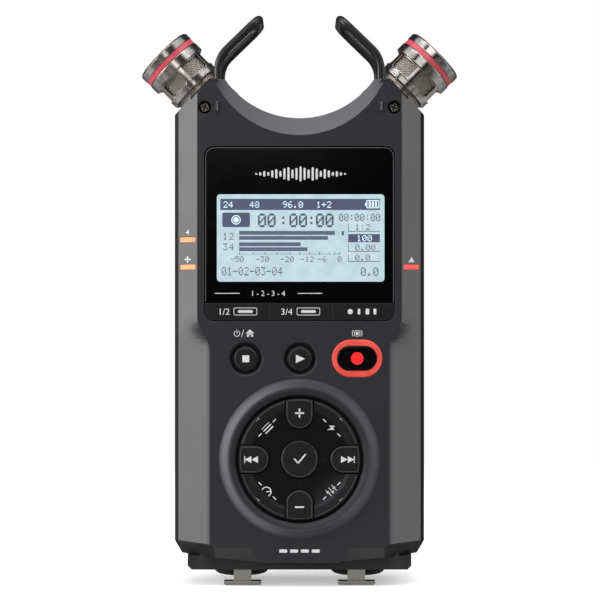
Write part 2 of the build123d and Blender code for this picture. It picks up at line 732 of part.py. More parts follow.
# ---------------------------------------------------------------- dial keys
# Dished front of the quadrant keys: (y, radius)
DISH_PROFILE = [
    (-18.5, 0), (-16.3, 0), (-16.3, 13.4), (-16.8, 14.3), (-16.95, 16.4),
    (-16.62, 16.97), (-16.62, 18.5), (-18.5, 18.5), (-18.5, 0),
]
with BuildPart() as dish_cutter:
    with BuildSketch(side_plane(0)):
        with BuildLine():
            Polyline(*[dial_point(y, radius) for y, radius in DISH_PROFILE])
        make_face()
    revolve(axis=DIAL_AXIS, revolution_arc=360)

# Arrow keys are tongues: a round inner end and straight sides running outwards.
ARROW_HALF = 3.75                        # half width, and radius of the inner end
ARROW_ROUND = 12.25                      # centre of the inner end, from the dial centre
ARROW_RUN = 10.0                         # length of the straight part
ARROW_STRAIGHT = ARROW_ROUND + ARROW_RUN / 2
DIAL_FLANGE_R = 18.2

# quadrant layers: (rear y, depth, inner radius, outer radius, clearance to the arrows)
QUADRANT_LAYERS = [
    (-14.7, 2.4, 5.5, DIAL_KEY_R, 0.35),
    (-14.1, 0.7, 6.4, DIAL_KEY_R - 0.15, 0.85),
    (KEY_BACK, FLANGE_DEPTH, 6.45, DIAL_FLANGE_R, 0.8),
]
# (name, side in x, side in z)
QUADRANT_KEYS = [
    ("menu_key", -1, 1), ("quick_key", 1, 1), ("playback_key", -1, -1), ("mixer_key", 1, -1),
]
for name, side_x, side_z in QUADRANT_KEYS:
    with BuildPart() as quadrant_key:
        for rear_y, depth, inner_r, outer_r, gap in QUADRANT_LAYERS:
            arrow_half = ARROW_HALF + gap
            with BuildSketch(front_plane(rear_y)):
                with Locations((0, DIAL_Z)):
                    Circle(outer_r)
                    Circle(inner_r, mode=Mode.SUBTRACT)
                with Locations((ARROW_ROUND * side_x, DIAL_Z), (0, DIAL_Z + ARROW_ROUND * side_z)):
                    Circle(arrow_half, mode=Mode.SUBTRACT)
                with Locations((ARROW_STRAIGHT * side_x, DIAL_Z)):
                    Rectangle(ARROW_RUN, 2 * arrow_half, mode=Mode.SUBTRACT)
                with Locations((0, DIAL_Z + ARROW_STRAIGHT * side_z)):
                    Rectangle(2 * arrow_half, ARROW_RUN, mode=Mode.SUBTRACT)
                with Locations((10.1 * side_x, DIAL_Z + 10.1 * side_z)):
                    Rectangle(20.0, 20.0, mode=Mode.INTERSECT)
            extrude(amount=depth)
        add(dish_cutter.part, mode=Mode.SUBTRACT)
    save(quadrant_key, name)

# flange, then key: (rear y, depth, outer radius, added half width)
ARROW_LAYERS = [(KEY_BACK, FLANGE_DEPTH, DIAL_FLANGE_R, 0.6), (-14.2, 2.9, DIAL_KEY_R, 0.0)]
# (name, direction in x, direction in z)
ARROW_KEYS = [
    ("plus_key", 0, 1), ("minus_key", 0, -1), ("rewind_key", -1, 0), ("forward_key", 1, 0),
]
for name, way_x, way_z in ARROW_KEYS:
    with BuildPart() as arrow_key:
        for rear_y, depth, outer_r, extra in ARROW_LAYERS:
            arrow_half = ARROW_HALF + extra
            with BuildSketch(front_plane(rear_y)):
                with Locations((ARROW_ROUND * way_x, DIAL_Z + ARROW_ROUND * way_z)):
                    Circle(arrow_half)
                with Locations((ARROW_STRAIGHT * way_x, DIAL_Z + ARROW_STRAIGHT * way_z)):
                    if way_x:
                        Rectangle(ARROW_RUN, 2 * arrow_half)
                    else:
                        Rectangle(2 * arrow_half, ARROW_RUN)
                with Locations((0, DIAL_Z)):
                    Circle(outer_r, mode=Mode.INTERSECT)
            extrude(amount=depth)
        chamfer(arrow_key.faces().sort_by(Axis.Y)[0].edges(), 0.22)
    save(arrow_key, name)

with BuildPart() as enter_key:
    for rear_y, radius, depth in ((KEY_BACK, 6.2, 0.75), (-14.05, 5.2, 2.95)):
        with BuildSketch(front_plane(rear_y)):
            with Locations((0, DIAL_Z)):
                Circle(radius)
        extrude(amount=depth)
    chamfer(enter_key.faces().sort_by(Axis.Y)[0].edges(), 0.3)
save(enter_key, "enter_key")


# ---------------------------------------------------------------- indicator lenses
def lamp_lenses(*heights):
    """Right-hand lenses at these heights, their fronts flush with the side bevel."""
    with BuildPart() as lenses:
        with BuildSketch(front_plane(-10.4)):
            with Locations(*[(LAMP_X, height) for height in heights]):
                RectangleRounded(4.4, 1.3, 0.3)
        extrude(amount=8)
        add(bevel_cutter.part, mode=Mode.SUBTRACT)
    return lenses


save_mirrored(lamp_lenses(LAMP_HIGH_Z, LAMP_LOW_Z), "track_lamps")
save(lamp_lenses(LAMP_LOW_Z), "peak_lamp")

# ---------------------------------------------------------------- boards and switches
BOARD_WIDTH, BOARD_CORNER_R = 53.4, 2.0
BOARD_HOLES = [(-23.5, 50), (23.5, 50), (-23.5, 112), (23.5, 112)]
BOARD_HOLE_R = 1.1

with BuildPart() as key_board:
    with BuildSketch(front_plane(BOARD_BACK)):
        with Locations((0, 66.0)):
            RectangleRounded(BOARD_WIDTH, 103.0, BOARD_CORNER_R)
        with Locations(*BOARD_HOLES):
            Circle(BOARD_HOLE_R, mode=Mode.SUBTRACT)
    extrude(amount=BOARD_BACK - BOARD_FRONT)
save(key_board, "key_board")

ARROW_SWITCH = 12.6                      # arrow switches, from the dial centre
QUADRANT_SWITCH = 8.8                    # quadrant switches, from it in x and in z
SWITCHES = [
    *SOFT_KEYS,
    STOP_KEY,
    PLAY_KEY,
    RECORD_KEY,
    (0, DIAL_Z),
    (0, DIAL_Z + ARROW_SWITCH),
    (0, DIAL_Z - ARROW_SWITCH),
    (-ARROW_SWITCH, DIAL_Z),
    (ARROW_SWITCH, DIAL_Z),
    (-QUADRANT_SWITCH, DIAL_Z + QUADRANT_SWITCH),
    (QUADRANT_SWITCH, DIAL_Z + QUADRANT_SWITCH),
    (-QUADRANT_SWITCH, DIAL_Z - QUADRANT_SWITCH),
    (QUADRANT_SWITCH, DIAL_Z - QUADRANT_SWITCH),
]
with BuildPart() as tact_switches:
    with BuildSketch(front_plane(BOARD_FRONT)):
        with Locations(*SWITCHES):
            Rectangle(2.6, 2.6)
    extrude(amount=0.9)
    with BuildSketch(front_plane(-12.4)):
        with Locations(*SWITCHES):
            Circle(0.8)
    extrude(amount=0.5)
save(tact_switches, "tact_switches")

MAIN_BOARD_BACK = -6.2
with BuildPart() as main_board:
    with BuildSketch(front_plane(MAIN_BOARD_BACK)):
        with Locations((0, 76.4)):
            RectangleRounded(BOARD_WIDTH, 91.2, BOARD_CORNER_R)
        with Locations(*BOARD_HOLES):
            Circle(BOARD_HOLE_R, mode=Mode.SUBTRACT)
    extrude(amount=1.4)
    # components on the rear side
    with BuildSketch(front_plane(MAIN_BOARD_BACK)):
        with Locations((-7.5, 104), (-7.5, 71)):
            Rectangle(12, 12)
        with Locations((12, 100), (12, 86), (12, 52), (-9, 50)):
            Rectangle(8, 6)
        with Locations((-16, 86), (-16, 90), (-16, 94), (22, 70), (22, 76), (22, 82)):
            Rectangle(3.2, 1.6)
    extrude(amount=-1.3)
save(main_board, "main_board")

# ---------------------------------------------------------------- batteries
CELL_R, CELL_X, CELL_Y = 7.25, 7.5, 8.0
CELL_LOW, CELL_LENGTH = 36.2, 50.3
CELL_HIGH = CELL_LOW + CELL_LENGTH
# cell outline: (radius, distance from the flat end)
CELL_PROFILE = [
    (0, 0), (6.4, 0), (CELL_R, 0.8), (CELL_R, CELL_LENGTH - 2.0), (6.6, CELL_LENGTH - 1.3),
    (2.75, CELL_LENGTH - 1.3), (2.75, CELL_LENGTH), (0, CELL_LENGTH), (0, 0),
]

# the left cell has its button down, the right one up
with BuildPart() as battery_cells:
    for side, flat_end in ((-1, CELL_HIGH), (1, CELL_LOW)):
        cell_plane = Plane(
            origin=(side * CELL_X, CELL_Y, DATUM), x_dir=(1, 0, 0), z_dir=(0, -1, 0)
        )
        with BuildSketch(cell_plane):
            with BuildLine():
                Polyline(*[(radius, flat_end + side * along) for radius, along in CELL_PROFILE])
            make_face()
        revolve(axis=Axis((side * CELL_X, CELL_Y, 0), (0, 0, 1)), revolution_arc=360)
save(battery_cells, "battery_cells")

CONTACT_GAP = 0.1                        # between a contact and its cell
PLATE_DEPTH = 0.4
# buttons: (x, start height, end height)
CONTACT_BUTTONS = [
    (-CELL_X, TUB_LOW + PLATE_DEPTH, CELL_LOW - CONTACT_GAP),
    (CELL_X, CELL_HIGH + CONTACT_GAP, TUB_HIGH - PLATE_DEPTH),
]
# stepped springs: (x, start height, end height, outer radius, inner radius)
CONTACT_SPRINGS = [
    (CELL_X, TUB_LOW + 0.4, TUB_LOW + 1.4, 4.0, 3.4),
    (CELL_X, TUB_LOW + 1.2, CELL_LOW - CONTACT_GAP, 3.6, 3.0),
    (-CELL_X, TUB_HIGH - 0.4, TUB_HIGH - 1.4, 4.0, 3.4),
    (-CELL_X, TUB_HIGH - 1.2, CELL_HIGH + CONTACT_GAP, 3.6, 3.0),
]
with BuildPart() as battery_contacts:
    for x in (-CELL_X, CELL_X):
        for z in (TUB_LOW + 0.05, TUB_HIGH - 0.45):
            with BuildSketch(level_plane(z)):
                with Locations((x, CELL_Y)):
                    RectangleRounded(10.5, 10.5, 1.0)
            extrude(amount=PLATE_DEPTH)
    for x, start, end in CONTACT_BUTTONS:
        with BuildSketch(level_plane(start)):
            with Locations((x, CELL_Y)):
                Circle(2.2)
        extrude(amount=end - start)
    for x, start, end, outer_r, inner_r in CONTACT_SPRINGS:
        with BuildSketch(level_plane(start)):
            with Locations((x, CELL_Y)):
                Circle(outer_r)
                Circle(inner_r, mode=Mode.SUBTRACT)
        extrude(amount=end - start)
save(battery_contacts, "battery_contacts")

GRIP_TOP, GRIP_PITCH, GRIP_COUNT = 83.0, 1.8, 5   # grooves across the cover
with BuildPart() as battery_cover:
    with BuildSketch(level_plane(COVER_LOW)):
        with BuildLine():
            Polyline(
                (-26.75, LOW_BACK_Y + 0.05), (26.75, LOW_BACK_Y + 0.05), (26.0, BACK_Y),
                (-26.0, BACK_Y), (-26.75, LOW_BACK_Y + 0.05),
            )
        make_face()
    extrude(amount=COVER_HIGH - COVER_LOW)
    chamfer(battery_cover.faces().sort_by(Axis.Y)[-1].edges().filter_by(Axis.X), 0.4)
    with BuildSketch(front_plane(BACK_Y)):
        with Locations(*[(0, GRIP_TOP - GRIP_PITCH * n) for n in range(GRIP_COUNT)]):
            SlotOverall(17.0, 0.9)
    extrude(amount=0.5, mode=Mode.SUBTRACT)
save(battery_cover, "battery_cover")

# ---------------------------------------------------------------- tripod insert, speaker
with BuildPart() as tripod_insert:
    with BuildSketch(front_plane(BACK_Y - 0.05)):
        with Locations((0, TRIPOD_Z)):
            Circle(4.5)
            Circle(2.55, mode=Mode.SUBTRACT)
    extrude(amount=9.3)
    chamfer(tripod_insert.faces().sort_by(Axis.Y)[-1].inner_wires()[0].edges(), 0.4)
save(tripod_insert, "tripod_insert")

# (y, radius)
SPEAKER_PROFILE = [
    (15.4, 8.5), (15.4, 7.2), (14.3, 4.0), (14.9, 0), (9.9, 0),
    (9.9, 4.4), (12.6, 4.4), (12.6, 8.5), (15.4, 8.5),
]
with BuildPart() as speaker:
    with BuildSketch(side_plane(0)):
        with BuildLine():
            Polyline(*[(y, SPEAKER_Z + radius) for y, radius in SPEAKER_PROFILE])
        make_face()
    revolve(axis=Axis((0, 0, SPEAKER_Z + DATUM), (0, 1, 0)), revolution_arc=360)
save(speaker, "speaker")

# ---------------------------------------------------------------- side controls
SLIDER_X = -HALF_W - 0.35                # outer face of the sliders
for name, slider_z in (("hold_switch", HOLD_Z), ("input_switch", INPUT_Z)):
    with BuildPart() as slider:
        with BuildSketch(side_plane(SLIDER_X)):
            with Locations((SIDE_Y, slider_z)):
                RectangleRounded(3.9, 4.6, 0.4)
        extrude(amount=1.05)
        # grip grooves
        with BuildSketch(front_plane(SIDE_Y + 3)):
            for offset in (-2.25, -0.75, 0.75, 2.25):
                with Locations((SLIDER_X, slider_z + offset)):
                    Rectangle(0.56, 0.62)
        extrude(amount=6, mode=Mode.SUBTRACT)
        # stem and inner plate
        with BuildSketch(side_plane(-HALF_W + 0.6)):
            with Locations((SIDE_Y, slider_z)):
                Rectangle(1.8, 2.8)
        extrude(amount=1.6)
        with BuildSketch(side_plane(-HALF_W + 2.1)):
            with Locations((SIDE_Y, slider_z)):
                Rectangle(4.2, 8.2)
        extrude(amount=0.5)
    save(slider, name)

with BuildPart() as phone_jack:
    with BuildSketch(side_plane(-HALF_W - 0.3)):
        with Locations((SIDE_Y, PHONE_Z)):
            Circle(2.72)
    extrude(amount=2.6)
    chamfer(phone_jack.faces().sort_by(Axis.X)[0].edges(), 0.3)
    with BuildSketch(side_plane(-32.75)):
        with Locations((SIDE_Y, PHONE_Z)):
            Rectangle(6.2, 6.4)
    extrude(amount=12)
    with BuildSketch(side_plane(-36)):
        with Locations((SIDE_Y, PHONE_Z)):
            Circle(1.8)
    extrude(amount=14.3, mode=Mode.SUBTRACT)
save(phone_jack, "phone_jack")

SIDE_PIN_R = 0.6
DOOR_INNER_X = 33.6
with BuildPart() as card_door:
    with BuildSketch(front_plane(SIDE_Y + DOOR_HALF)):
        with BuildLine():
            Polyline(
                (PIN_AXIS_X, DOOR_LOW),
                (DOOR_INNER_X, DOOR_LOW + 0.1),
                (DOOR_INNER_X, DOOR_HIGH - 1.2),
                (34.0, DOOR_HIGH),
                (HALF_W, DOOR_HIGH),
                (HALF_W, DOOR_LOW + 1.0),
            )
            # lower edge rounded about the pin
            ThreePointArc(
                (HALF_W, DOOR_LOW + 1.0),
                (PIN_AXIS_X + 0.7071, DOOR_LOW + 0.2929),
                (PIN_AXIS_X, DOOR_LOW),
            )
        make_face()
    extrude(amount=2 * DOOR_HALF)
    with BuildSketch(front_plane(SIDE_Y + 4.0)):
        with Locations(DOOR_PIN):
            Circle(SIDE_PIN_R)
    extrude(amount=8.0)
    # fingernail groove
    with BuildSketch(side_plane(HALF_W)):
        with Locations((SIDE_Y, DOOR_HIGH - 1.6)):
            SlotOverall(4.0, 1.2)
    extrude(amount=-0.5, mode=Mode.SUBTRACT)
save(card_door, "card_door")

CARD_Z = (DOOR_LOW + DOOR_HIGH) / 2
with BuildPart() as card_socket:
    with BuildSketch(side_plane(19.0)):
        with Locations((SIDE_Y, CARD_Z)):
            Rectangle(5.0, 27.0)
    extrude(amount=13.4)
    with BuildSketch(side_plane(32.5)):
        with Locations((SIDE_Y, CARD_Z)):
            Rectangle(2.4, 24.4)
    extrude(amount=-12.0, mode=Mode.SUBTRACT)
save(card_socket, "card_socket")

MARK_OFFSET = 5.2                        # plus and minus marks, from the rocker centre
with BuildPart() as level_rocker:
    with BuildSketch(side_plane(HALF_W)):
        with Locations((SIDE_Y, LEVEL_Z)):
            RectangleRounded(4.8, 16.0, 0.6)
    extrude(amount=-2.2)
    chamfer(level_rocker.faces().sort_by(Axis.X)[-1].edges(), 0.25)
    with BuildSketch(front_plane(SIDE_Y + 3.1)):
        with Locations(ROCKER_PIN):
            Circle(SIDE_PIN_R)
    extrude(amount=6.2)
    with BuildSketch(side_plane(HALF_W)):
        with Locations((SIDE_Y, LEVEL_Z - MARK_OFFSET), (SIDE_Y, LEVEL_Z + MARK_OFFSET)):
            SlotOverall(2.4, 0.6)
        with Locations((SIDE_Y, LEVEL_Z + MARK_OFFSET)):
            SlotOverall(2.4, 0.6, rotation=90)
    extrude(amount=-0.3, mode=Mode.SUBTRACT)
save(level_rocker, "level_rocker")

# ---------------------------------------------------------------- screws
SHOULDER_HEAD_Y = -14.35                 # underside of the shoulder screw heads
with BuildPart() as shoulder_screws:
    with BuildSketch(front_plane(SHOULDER_HEAD_Y)):
        with Locations(*SHOULDER_SCREWS):
            Circle(1.5)
    extrude(amount=1.0)
    fillet(shoulder_screws.faces().sort_by(Axis.Y)[0:2].edges(), 0.4)
    with BuildSketch(front_plane(SHOULDER_HEAD_Y)):
        with Locations(*SHOULDER_SCREWS):
            Circle(THREAD_R)
    extrude(amount=-4.4)
    # cross recess
    with BuildSketch(front_plane(-15.6)):
        with Locations(*SHOULDER_SCREWS):
            Rectangle(1.9, 0.48)
            Rectangle(0.48, 1.9)
    extrude(amount=-0.85, mode=Mode.SUBTRACT)
save(shoulder_screws, "shoulder_screws")

CASING_HEAD_Y = 11.45                    # underside of the casing screw heads
with BuildPart() as casing_screws:
    with BuildSketch(front_plane(CASING_HEAD_Y)):
        with Locations(*BOSSES):
            Circle(1.85)
    extrude(amount=-1.3)
    with BuildSketch(front_plane(CASING_HEAD_Y)):
        with Locations(*BOSSES):
            Circle(THREAD_R)
    extrude(amount=19.0)
    # cross recess
    with BuildSketch(front_plane(12.8)):
        with Locations(*BOSSES):
            Rectangle(2.1, 0.5)
            Rectangle(0.5, 2.1)
    extrude(amount=0.75, mode=Mode.SUBTRACT)
save(casing_screws, "casing_screws")


# ---------------------------------------------------------------- microphone guards
def bend(before, corner, after, radius):
    """Start, middle and end of a round bend of this radius at a corner."""
    corner = Vector(*corner)
    back = (Vector(*before) - corner).normalized()
    ahead = (Vector(*after) - corner).normalized()
    half_angle = math.radians(back.get_angle(ahead)) / 2
    trim = radius / math.tan(half_angle)
    reach = radius / math.sin(half_angle) - radius
    middle = corner + (back + ahead).normalized() * reach
    return corner + back * trim, middle, corner + ahead * trim


GUARD_FOOT, GUARD_KNEE, GUARD_TOP = 137.0 + DATUM, 149.15 + DATUM, 160.2 + DATUM
GUARD_TOP_X = -11.4
# corners of the left guard's centre line, front foot to rear foot: (x, y, z)
GUARD_POINTS = [
    (-GUARD_X, -GUARD_Y, GUARD_FOOT),
    (-GUARD_X, -GUARD_Y, GUARD_KNEE),
    (GUARD_TOP_X, -GUARD_Y, GUARD_TOP),
    (GUARD_TOP_X, GUARD_Y, GUARD_TOP),
    (-GUARD_X, GUARD_Y, GUARD_KNEE),
    (-GUARD_X, GUARD_Y, GUARD_FOOT),
]
GUARD_BEND_RADII = [8.0, 3.4, 3.4, 8.0]  # at the four inner corners
with BuildPart() as guard:
    with BuildLine() as guard_path:
        reached = Vector(*GUARD_POINTS[0])
        for i, bend_radius in enumerate(GUARD_BEND_RADII, start=1):
            start, middle, end = bend(*GUARD_POINTS[i - 1:i + 2], bend_radius)
            Line(reached, start)
            ThreePointArc(start, middle, end)
            reached = end
        Line(reached, Vector(*GUARD_POINTS[-1]))
    with BuildSketch(Plane(origin=GUARD_POINTS[0], z_dir=(0, 0, 1))):
        Circle(GUARD_R)
    sweep(path=guard_path.wire())
save_pair(guard, "guard")

# ---------------------------------------------------------------- microphones
# The left microphone, swung outward at 45 degrees. Profiles run along the capsule
# axis: (distance from the hinge line, radius).
MIC_ORIGIN = (-PIVOT_X, 0, PIVOT_Z + DATUM)
MIC_PLANE = Plane(origin=MIC_ORIGIN, x_dir=(-1, 0, 1), z_dir=(1, 0, 1))
MIC_AXIS = Axis(MIC_ORIGIN, (-1, 0, 1))
MIC_DIRECTION = Vector(-1, 0, 1).normalized()
MESH_R = 7.6                             # bore of the rings round the mesh

NECK_PROFILE = [
    (7.45, 0), (7.45, 6.9), (7.7, 7.3), (8.35, 7.3), (8.5, 6.95), (8.75, 6.95),
    (8.85, 7.15), (9.05, 7.15), (9.05, 0), (7.45, 0),
]
BASKET_PROFILE = [
    (9.1, 0), (9.1, 7.6), (9.5, 8.0), (10.9, 8.0), (11.1, 8.15), (15.85, 8.15),
    (15.95, 8.5), (16.1, 8.9), (18.55, 8.9), (18.75, 8.7), (18.75, MESH_R),
    (11.0, MESH_R), (11.0, 0), (9.1, 0),
]
# basket window: (along the axis, across)
WINDOW_OUTLINE = [
    (-2.25, -2.7), (-1.6, -3.35), (2.15, -3.35), (2.15, 3.35), (-1.6, 3.35),
    (-2.25, 2.7), (-2.25, -2.7),
]
COLOR_RING_PROFILE = [
    (18.8, MESH_R), (18.8, 8.75), (20.25, 8.75), (20.25, MESH_R), (18.8, MESH_R),
]
FRONT_RING_PROFILE = [
    (20.3, MESH_R), (20.3, 8.7), (20.45, 8.9), (22.25, 8.9), (22.7, 8.45), (22.7, 6.8),
    (22.1, 6.4), (21.7, 6.4), (21.7, MESH_R), (20.3, MESH_R),
]
MESH_PROFILE = [
    (11.05, 7.05), (11.05, 7.3), (21.65, 7.3), (21.65, 0), (21.4, 0), (21.4, 7.05),
    (11.05, 7.05),
]
CAPSULE_PROFILE = [
    (11.05, 0), (11.05, 2.0), (13.0, 2.0), (13.0, 4.8), (13.2, 5.0), (17.8, 5.0),
    (18.0, 4.8), (18.0, 0), (11.05, 0),
]

# neck: collar, knuckle and the square block joining them
with BuildPart() as mic_neck:
    with BuildSketch(MIC_PLANE):
        with BuildLine():
            Polyline(*NECK_PROFILE)
        make_face()
    revolve(axis=MIC_AXIS, revolution_arc=360)
    with BuildSketch(front_plane(6.9)):
        with Locations(HINGES[0]):
            Circle(KNUCKLE_R)
    extrude(amount=13.8)
    block_base = Vector(*MIC_ORIGIN) + MIC_DIRECTION * 5.85
    with BuildSketch(Plane(origin=block_base, x_dir=(0, 1, 0), z_dir=(-1, 0, 1))):
        Rectangle(9.4, 9.4)
    extrude(amount=1.8)
    with BuildSketch(front_plane(8)):
        with Locations(HINGES[0]):
            Circle(1.3)
    extrude(amount=16, mode=Mode.SUBTRACT)
save_pair(mic_neck, "mic_neck")

# basket with six windows round it
with BuildPart() as mic_basket:
    with BuildSketch(MIC_PLANE):
        with BuildLine():
            Polyline(*BASKET_PROFILE)
        make_face()
    revolve(axis=MIC_AXIS, revolution_arc=360)
    window_centre = Vector(*MIC_ORIGIN) + MIC_DIRECTION * 13.55
    across = Vector(0, 1, 0)
    upward = MIC_DIRECTION.cross(across)
    for k in range(6):
        angle = math.radians(30 + 60 * k)
        outward = across * math.cos(angle) + upward * math.sin(angle)
        window_plane = Plane(
            origin=window_centre + outward * 5.0, x_dir=MIC_DIRECTION, z_dir=outward
        )
        with BuildSketch(window_plane):
            with BuildLine():
                Polyline(*WINDOW_OUTLINE)
            make_face()
        extrude(amount=4.5, mode=Mode.SUBTRACT)
save_pair(mic_basket, "mic_basket")

# pieces that are simply turned about the capsule axis
for name, profile in (
    ("color_ring", COLOR_RING_PROFILE),
    ("front_ring", FRONT_RING_PROFILE),
    ("mesh", MESH_PROFILE),
    ("capsule", CAPSULE_PROFILE),
):
    with BuildPart() as turned_piece:
        with BuildSketch(MIC_PLANE):
            with BuildLine():
                Polyline(*profile)
            make_face()
        revolve(axis=MIC_AXIS, revolution_arc=360)
    save_pair(turned_piece, f"mic_{name}")

with BuildPart() as pivot_pins:
    with BuildSketch(front_plane(PIN_HALF)):
        with Locations(*HINGES):
            Circle(PIN_R)
    extrude(amount=2 * PIN_HALF)
save(pivot_pins, "pivot_pins")
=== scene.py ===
# A handheld sound recorder standing upright: display and keys on the front, which looks
# along -Y, and two microphones on top leaning outwards. X runs across, and left is -X as
# the camera sees it. The pieces are loaded; this script adds finishes, printed marks, the
# microphones' woven wire, and the stage.
import json
import math

import bpy
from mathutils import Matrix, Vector


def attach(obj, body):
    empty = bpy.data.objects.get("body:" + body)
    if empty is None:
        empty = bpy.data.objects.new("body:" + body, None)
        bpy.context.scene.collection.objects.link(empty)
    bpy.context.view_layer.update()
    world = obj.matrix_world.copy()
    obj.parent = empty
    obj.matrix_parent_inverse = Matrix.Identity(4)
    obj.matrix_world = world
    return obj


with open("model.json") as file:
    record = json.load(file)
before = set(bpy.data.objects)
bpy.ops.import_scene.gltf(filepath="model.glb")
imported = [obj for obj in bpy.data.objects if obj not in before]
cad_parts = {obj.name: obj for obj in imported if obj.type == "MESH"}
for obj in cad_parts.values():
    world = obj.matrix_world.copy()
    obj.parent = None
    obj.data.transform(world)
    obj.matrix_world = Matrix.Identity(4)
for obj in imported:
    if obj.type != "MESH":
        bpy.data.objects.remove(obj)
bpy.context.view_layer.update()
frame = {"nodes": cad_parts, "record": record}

# Lengths are millimetres unless a comment says metres.
MM = 0.001
DATUM = -1.45           # heights are counted from this far under the footprint
SIDES = (("left", -1), ("right", 1))

# Depths of the faces that carry marks
FACE_Y = -16.3          # front panel, and the floor of the quadrant keys
WINDOW_Y = -16.25       # display window and function keys
TRANSPORT_Y = -16.5     # stop and play keys
RECORD_Y = -16.8
ARM_Y = -17.1           # the four arm keys of the dial
ENTER_Y = ARM_Y + 0.1
DIAL_Z = 37.0           # height of the dial's centre, which is at x = 0


# ------------------------------------------------------------------ node helpers
class Graph:
    """A node tree with short calls for the nodes used here."""

    def __init__(self, tree, output_kind):
        self.tree = tree
        tree.nodes.clear()
        self.output = self.node(output_kind)

    def feed(self, socket, value):
        """Link a socket to the input, or set a plain value."""
        if isinstance(value, bpy.types.NodeSocket):
            self.tree.links.new(value, socket)
        else:
            socket.default_value = value

    def fill(self, node, inputs):
        for key, value in inputs.items():
            self.feed(node.inputs[key], value)

    def node(self, kind, inputs=None, **settings):
        node = self.tree.nodes.new("ShaderNode" + kind)
        for name, value in settings.items():
            setattr(node, name, value)
        self.fill(node, inputs or {})
        return node

    def math(self, operation, *values, clamp=False):
        node = self.node("Math", dict(enumerate(values)), operation=operation, use_clamp=clamp)
        return node.outputs[0]

    def times(self, product, *factors):
        for factor in factors:
            product = self.math("MULTIPLY", product, factor)
        return product

    def invert(self, value):
        return self.math("SUBTRACT", 1.0, value)

    def ramp(self, value, start, end, low=0.0, high=1.0):
        """Smooth step from low at start to high at end; start may be above end."""
        inputs = {0: value, 1: start, 2: end, 3: low, 4: high}
        return self.node("MapRange", inputs, interpolation_type="SMOOTHSTEP").outputs[0]

    def mix(self, factor, first, second):
        return self.node("Mix", {0: factor, 6: first, 7: second}, data_type="RGBA").outputs[2]

    def noise(self, coord, scale, detail=3.0, rough=0.6, stretch=None):
        if stretch:
            coord = self.node("Mapping", {"Scale": stretch, "Vector": coord}).outputs[0]
        inputs = {"Scale": scale, "Detail": detail, "Roughness": rough, "Vector": coord}
        return self.node("TexNoise", inputs).outputs["Fac"]

    def coords(self, kind="Object"):
        return self.node("TexCoord").outputs[kind]

    def split(self, vector):
        return self.node("SeparateXYZ", {0: vector}).outputs


def shader(name):
    material = bpy.data.materials.new(name)
    material.use_nodes = True
    g = Graph(material.node_tree, "OutputMaterial")
    principled = g.node("BsdfPrincipled")
    g.feed(g.output.inputs[0], principled.outputs[0])
    return material, g, principled


def shade(color, factor=1.0, lift=0.0):
    return (*[min(1.0, c * factor + lift) for c in color], 1.0)


def surface(g, principled, grain, strength, edge_mm, rough, rough_var):
    """Rounded edges, fine grain and uneven gloss shared by every solid material.

    Returns object coordinates, the blotch and grain noises, and the rounded normal.
    """
    coord = g.coords()
    rounded = g.node("Bevel", {"Radius": edge_mm * MM}, samples=4).outputs[0]
    fine = g.noise(coord, scale=grain, detail=2.0)
    coarse = g.noise(coord, scale=grain * 0.31, detail=2.0, rough=0.5)
    bump = g.node("Bump", {
        "Strength": strength,
        "Distance": 0.00004,    # metres
        "Height": g.math("ADD", fine, g.times(coarse, 0.6)),
        "Normal": rounded,
    })
    blotch = g.noise(coord, scale=60.0, detail=4.0)
    gloss = g.ramp(blotch, 0.3, 0.7, low=rough - rough_var, high=rough + rough_var)
    speckle = g.times(g.math("SUBTRACT", fine, 0.5), 0.12)
    g.fill(principled, {
        "Normal": bump.outputs[0],
        "Roughness": g.math("ADD", gloss, speckle),
    })
    return coord, blotch, fine, rounded


def edge_mask(g, rounded):
    """Mask that rises where the rounded normal leaves the true one, and the true normal."""
    true_normal = g.node("NewGeometry").outputs["True Normal"]
    dot = g.node("VectorMath", {0: rounded, 1: true_normal}, operation="DOT_PRODUCT")
    return g.ramp(dot.outputs["Value"], 0.995, 0.86), true_normal


def dial_polar(g, across, height):
    """Height over the dial's centre, and distance from it, in metres."""
    up = g.math("SUBTRACT", height, (DIAL_Z + DATUM) * MM)
    return up, g.math("SQRT", g.math("ADD", g.times(up, up), g.times(across, across)))


# ------------------------------------------------------------------ kinds of material
def plastic(name, base, rough=0.5, grain=5200, strength=0.2, edge_light=1.5, edge_mm=0.18,
            spec=0.5, rough_var=0.04, coat=0.0, even=False, tone=None):
    """Grained plastic; edge_light draws the edges lighter as a painted highlight, and even keeps some of
    that highlight along every edge.
    """
    material, g, principled = shader(name)
    coord, blotch, _, rounded = surface(g, principled, grain, strength, edge_mm, rough, rough_var)
    edge, _ = edge_mask(g, rounded)
    color = g.mix(blotch, shade(base, 0.93), shade(base, 1.06))
    if tone:
        color = tone(g, coord, color)
    # Painted highlight: the edges are drawn lighter in uneven patches.
    patch = g.ramp(g.noise(coord, scale=420), 0.35, 0.62, low=0.45 if even else 0.0)
    edge_highlight = g.math("MULTIPLY", edge, patch, clamp=True)
    color = g.mix(g.times(edge_highlight, 0.8), color, shade(base, edge_light, lift=0.004))
    g.fill(principled, {"Base Color": color, "Specular IOR Level": spec})
    if coat:
        g.fill(principled, {"Coat Weight": coat, "Coat Roughness": 0.06})
    return material


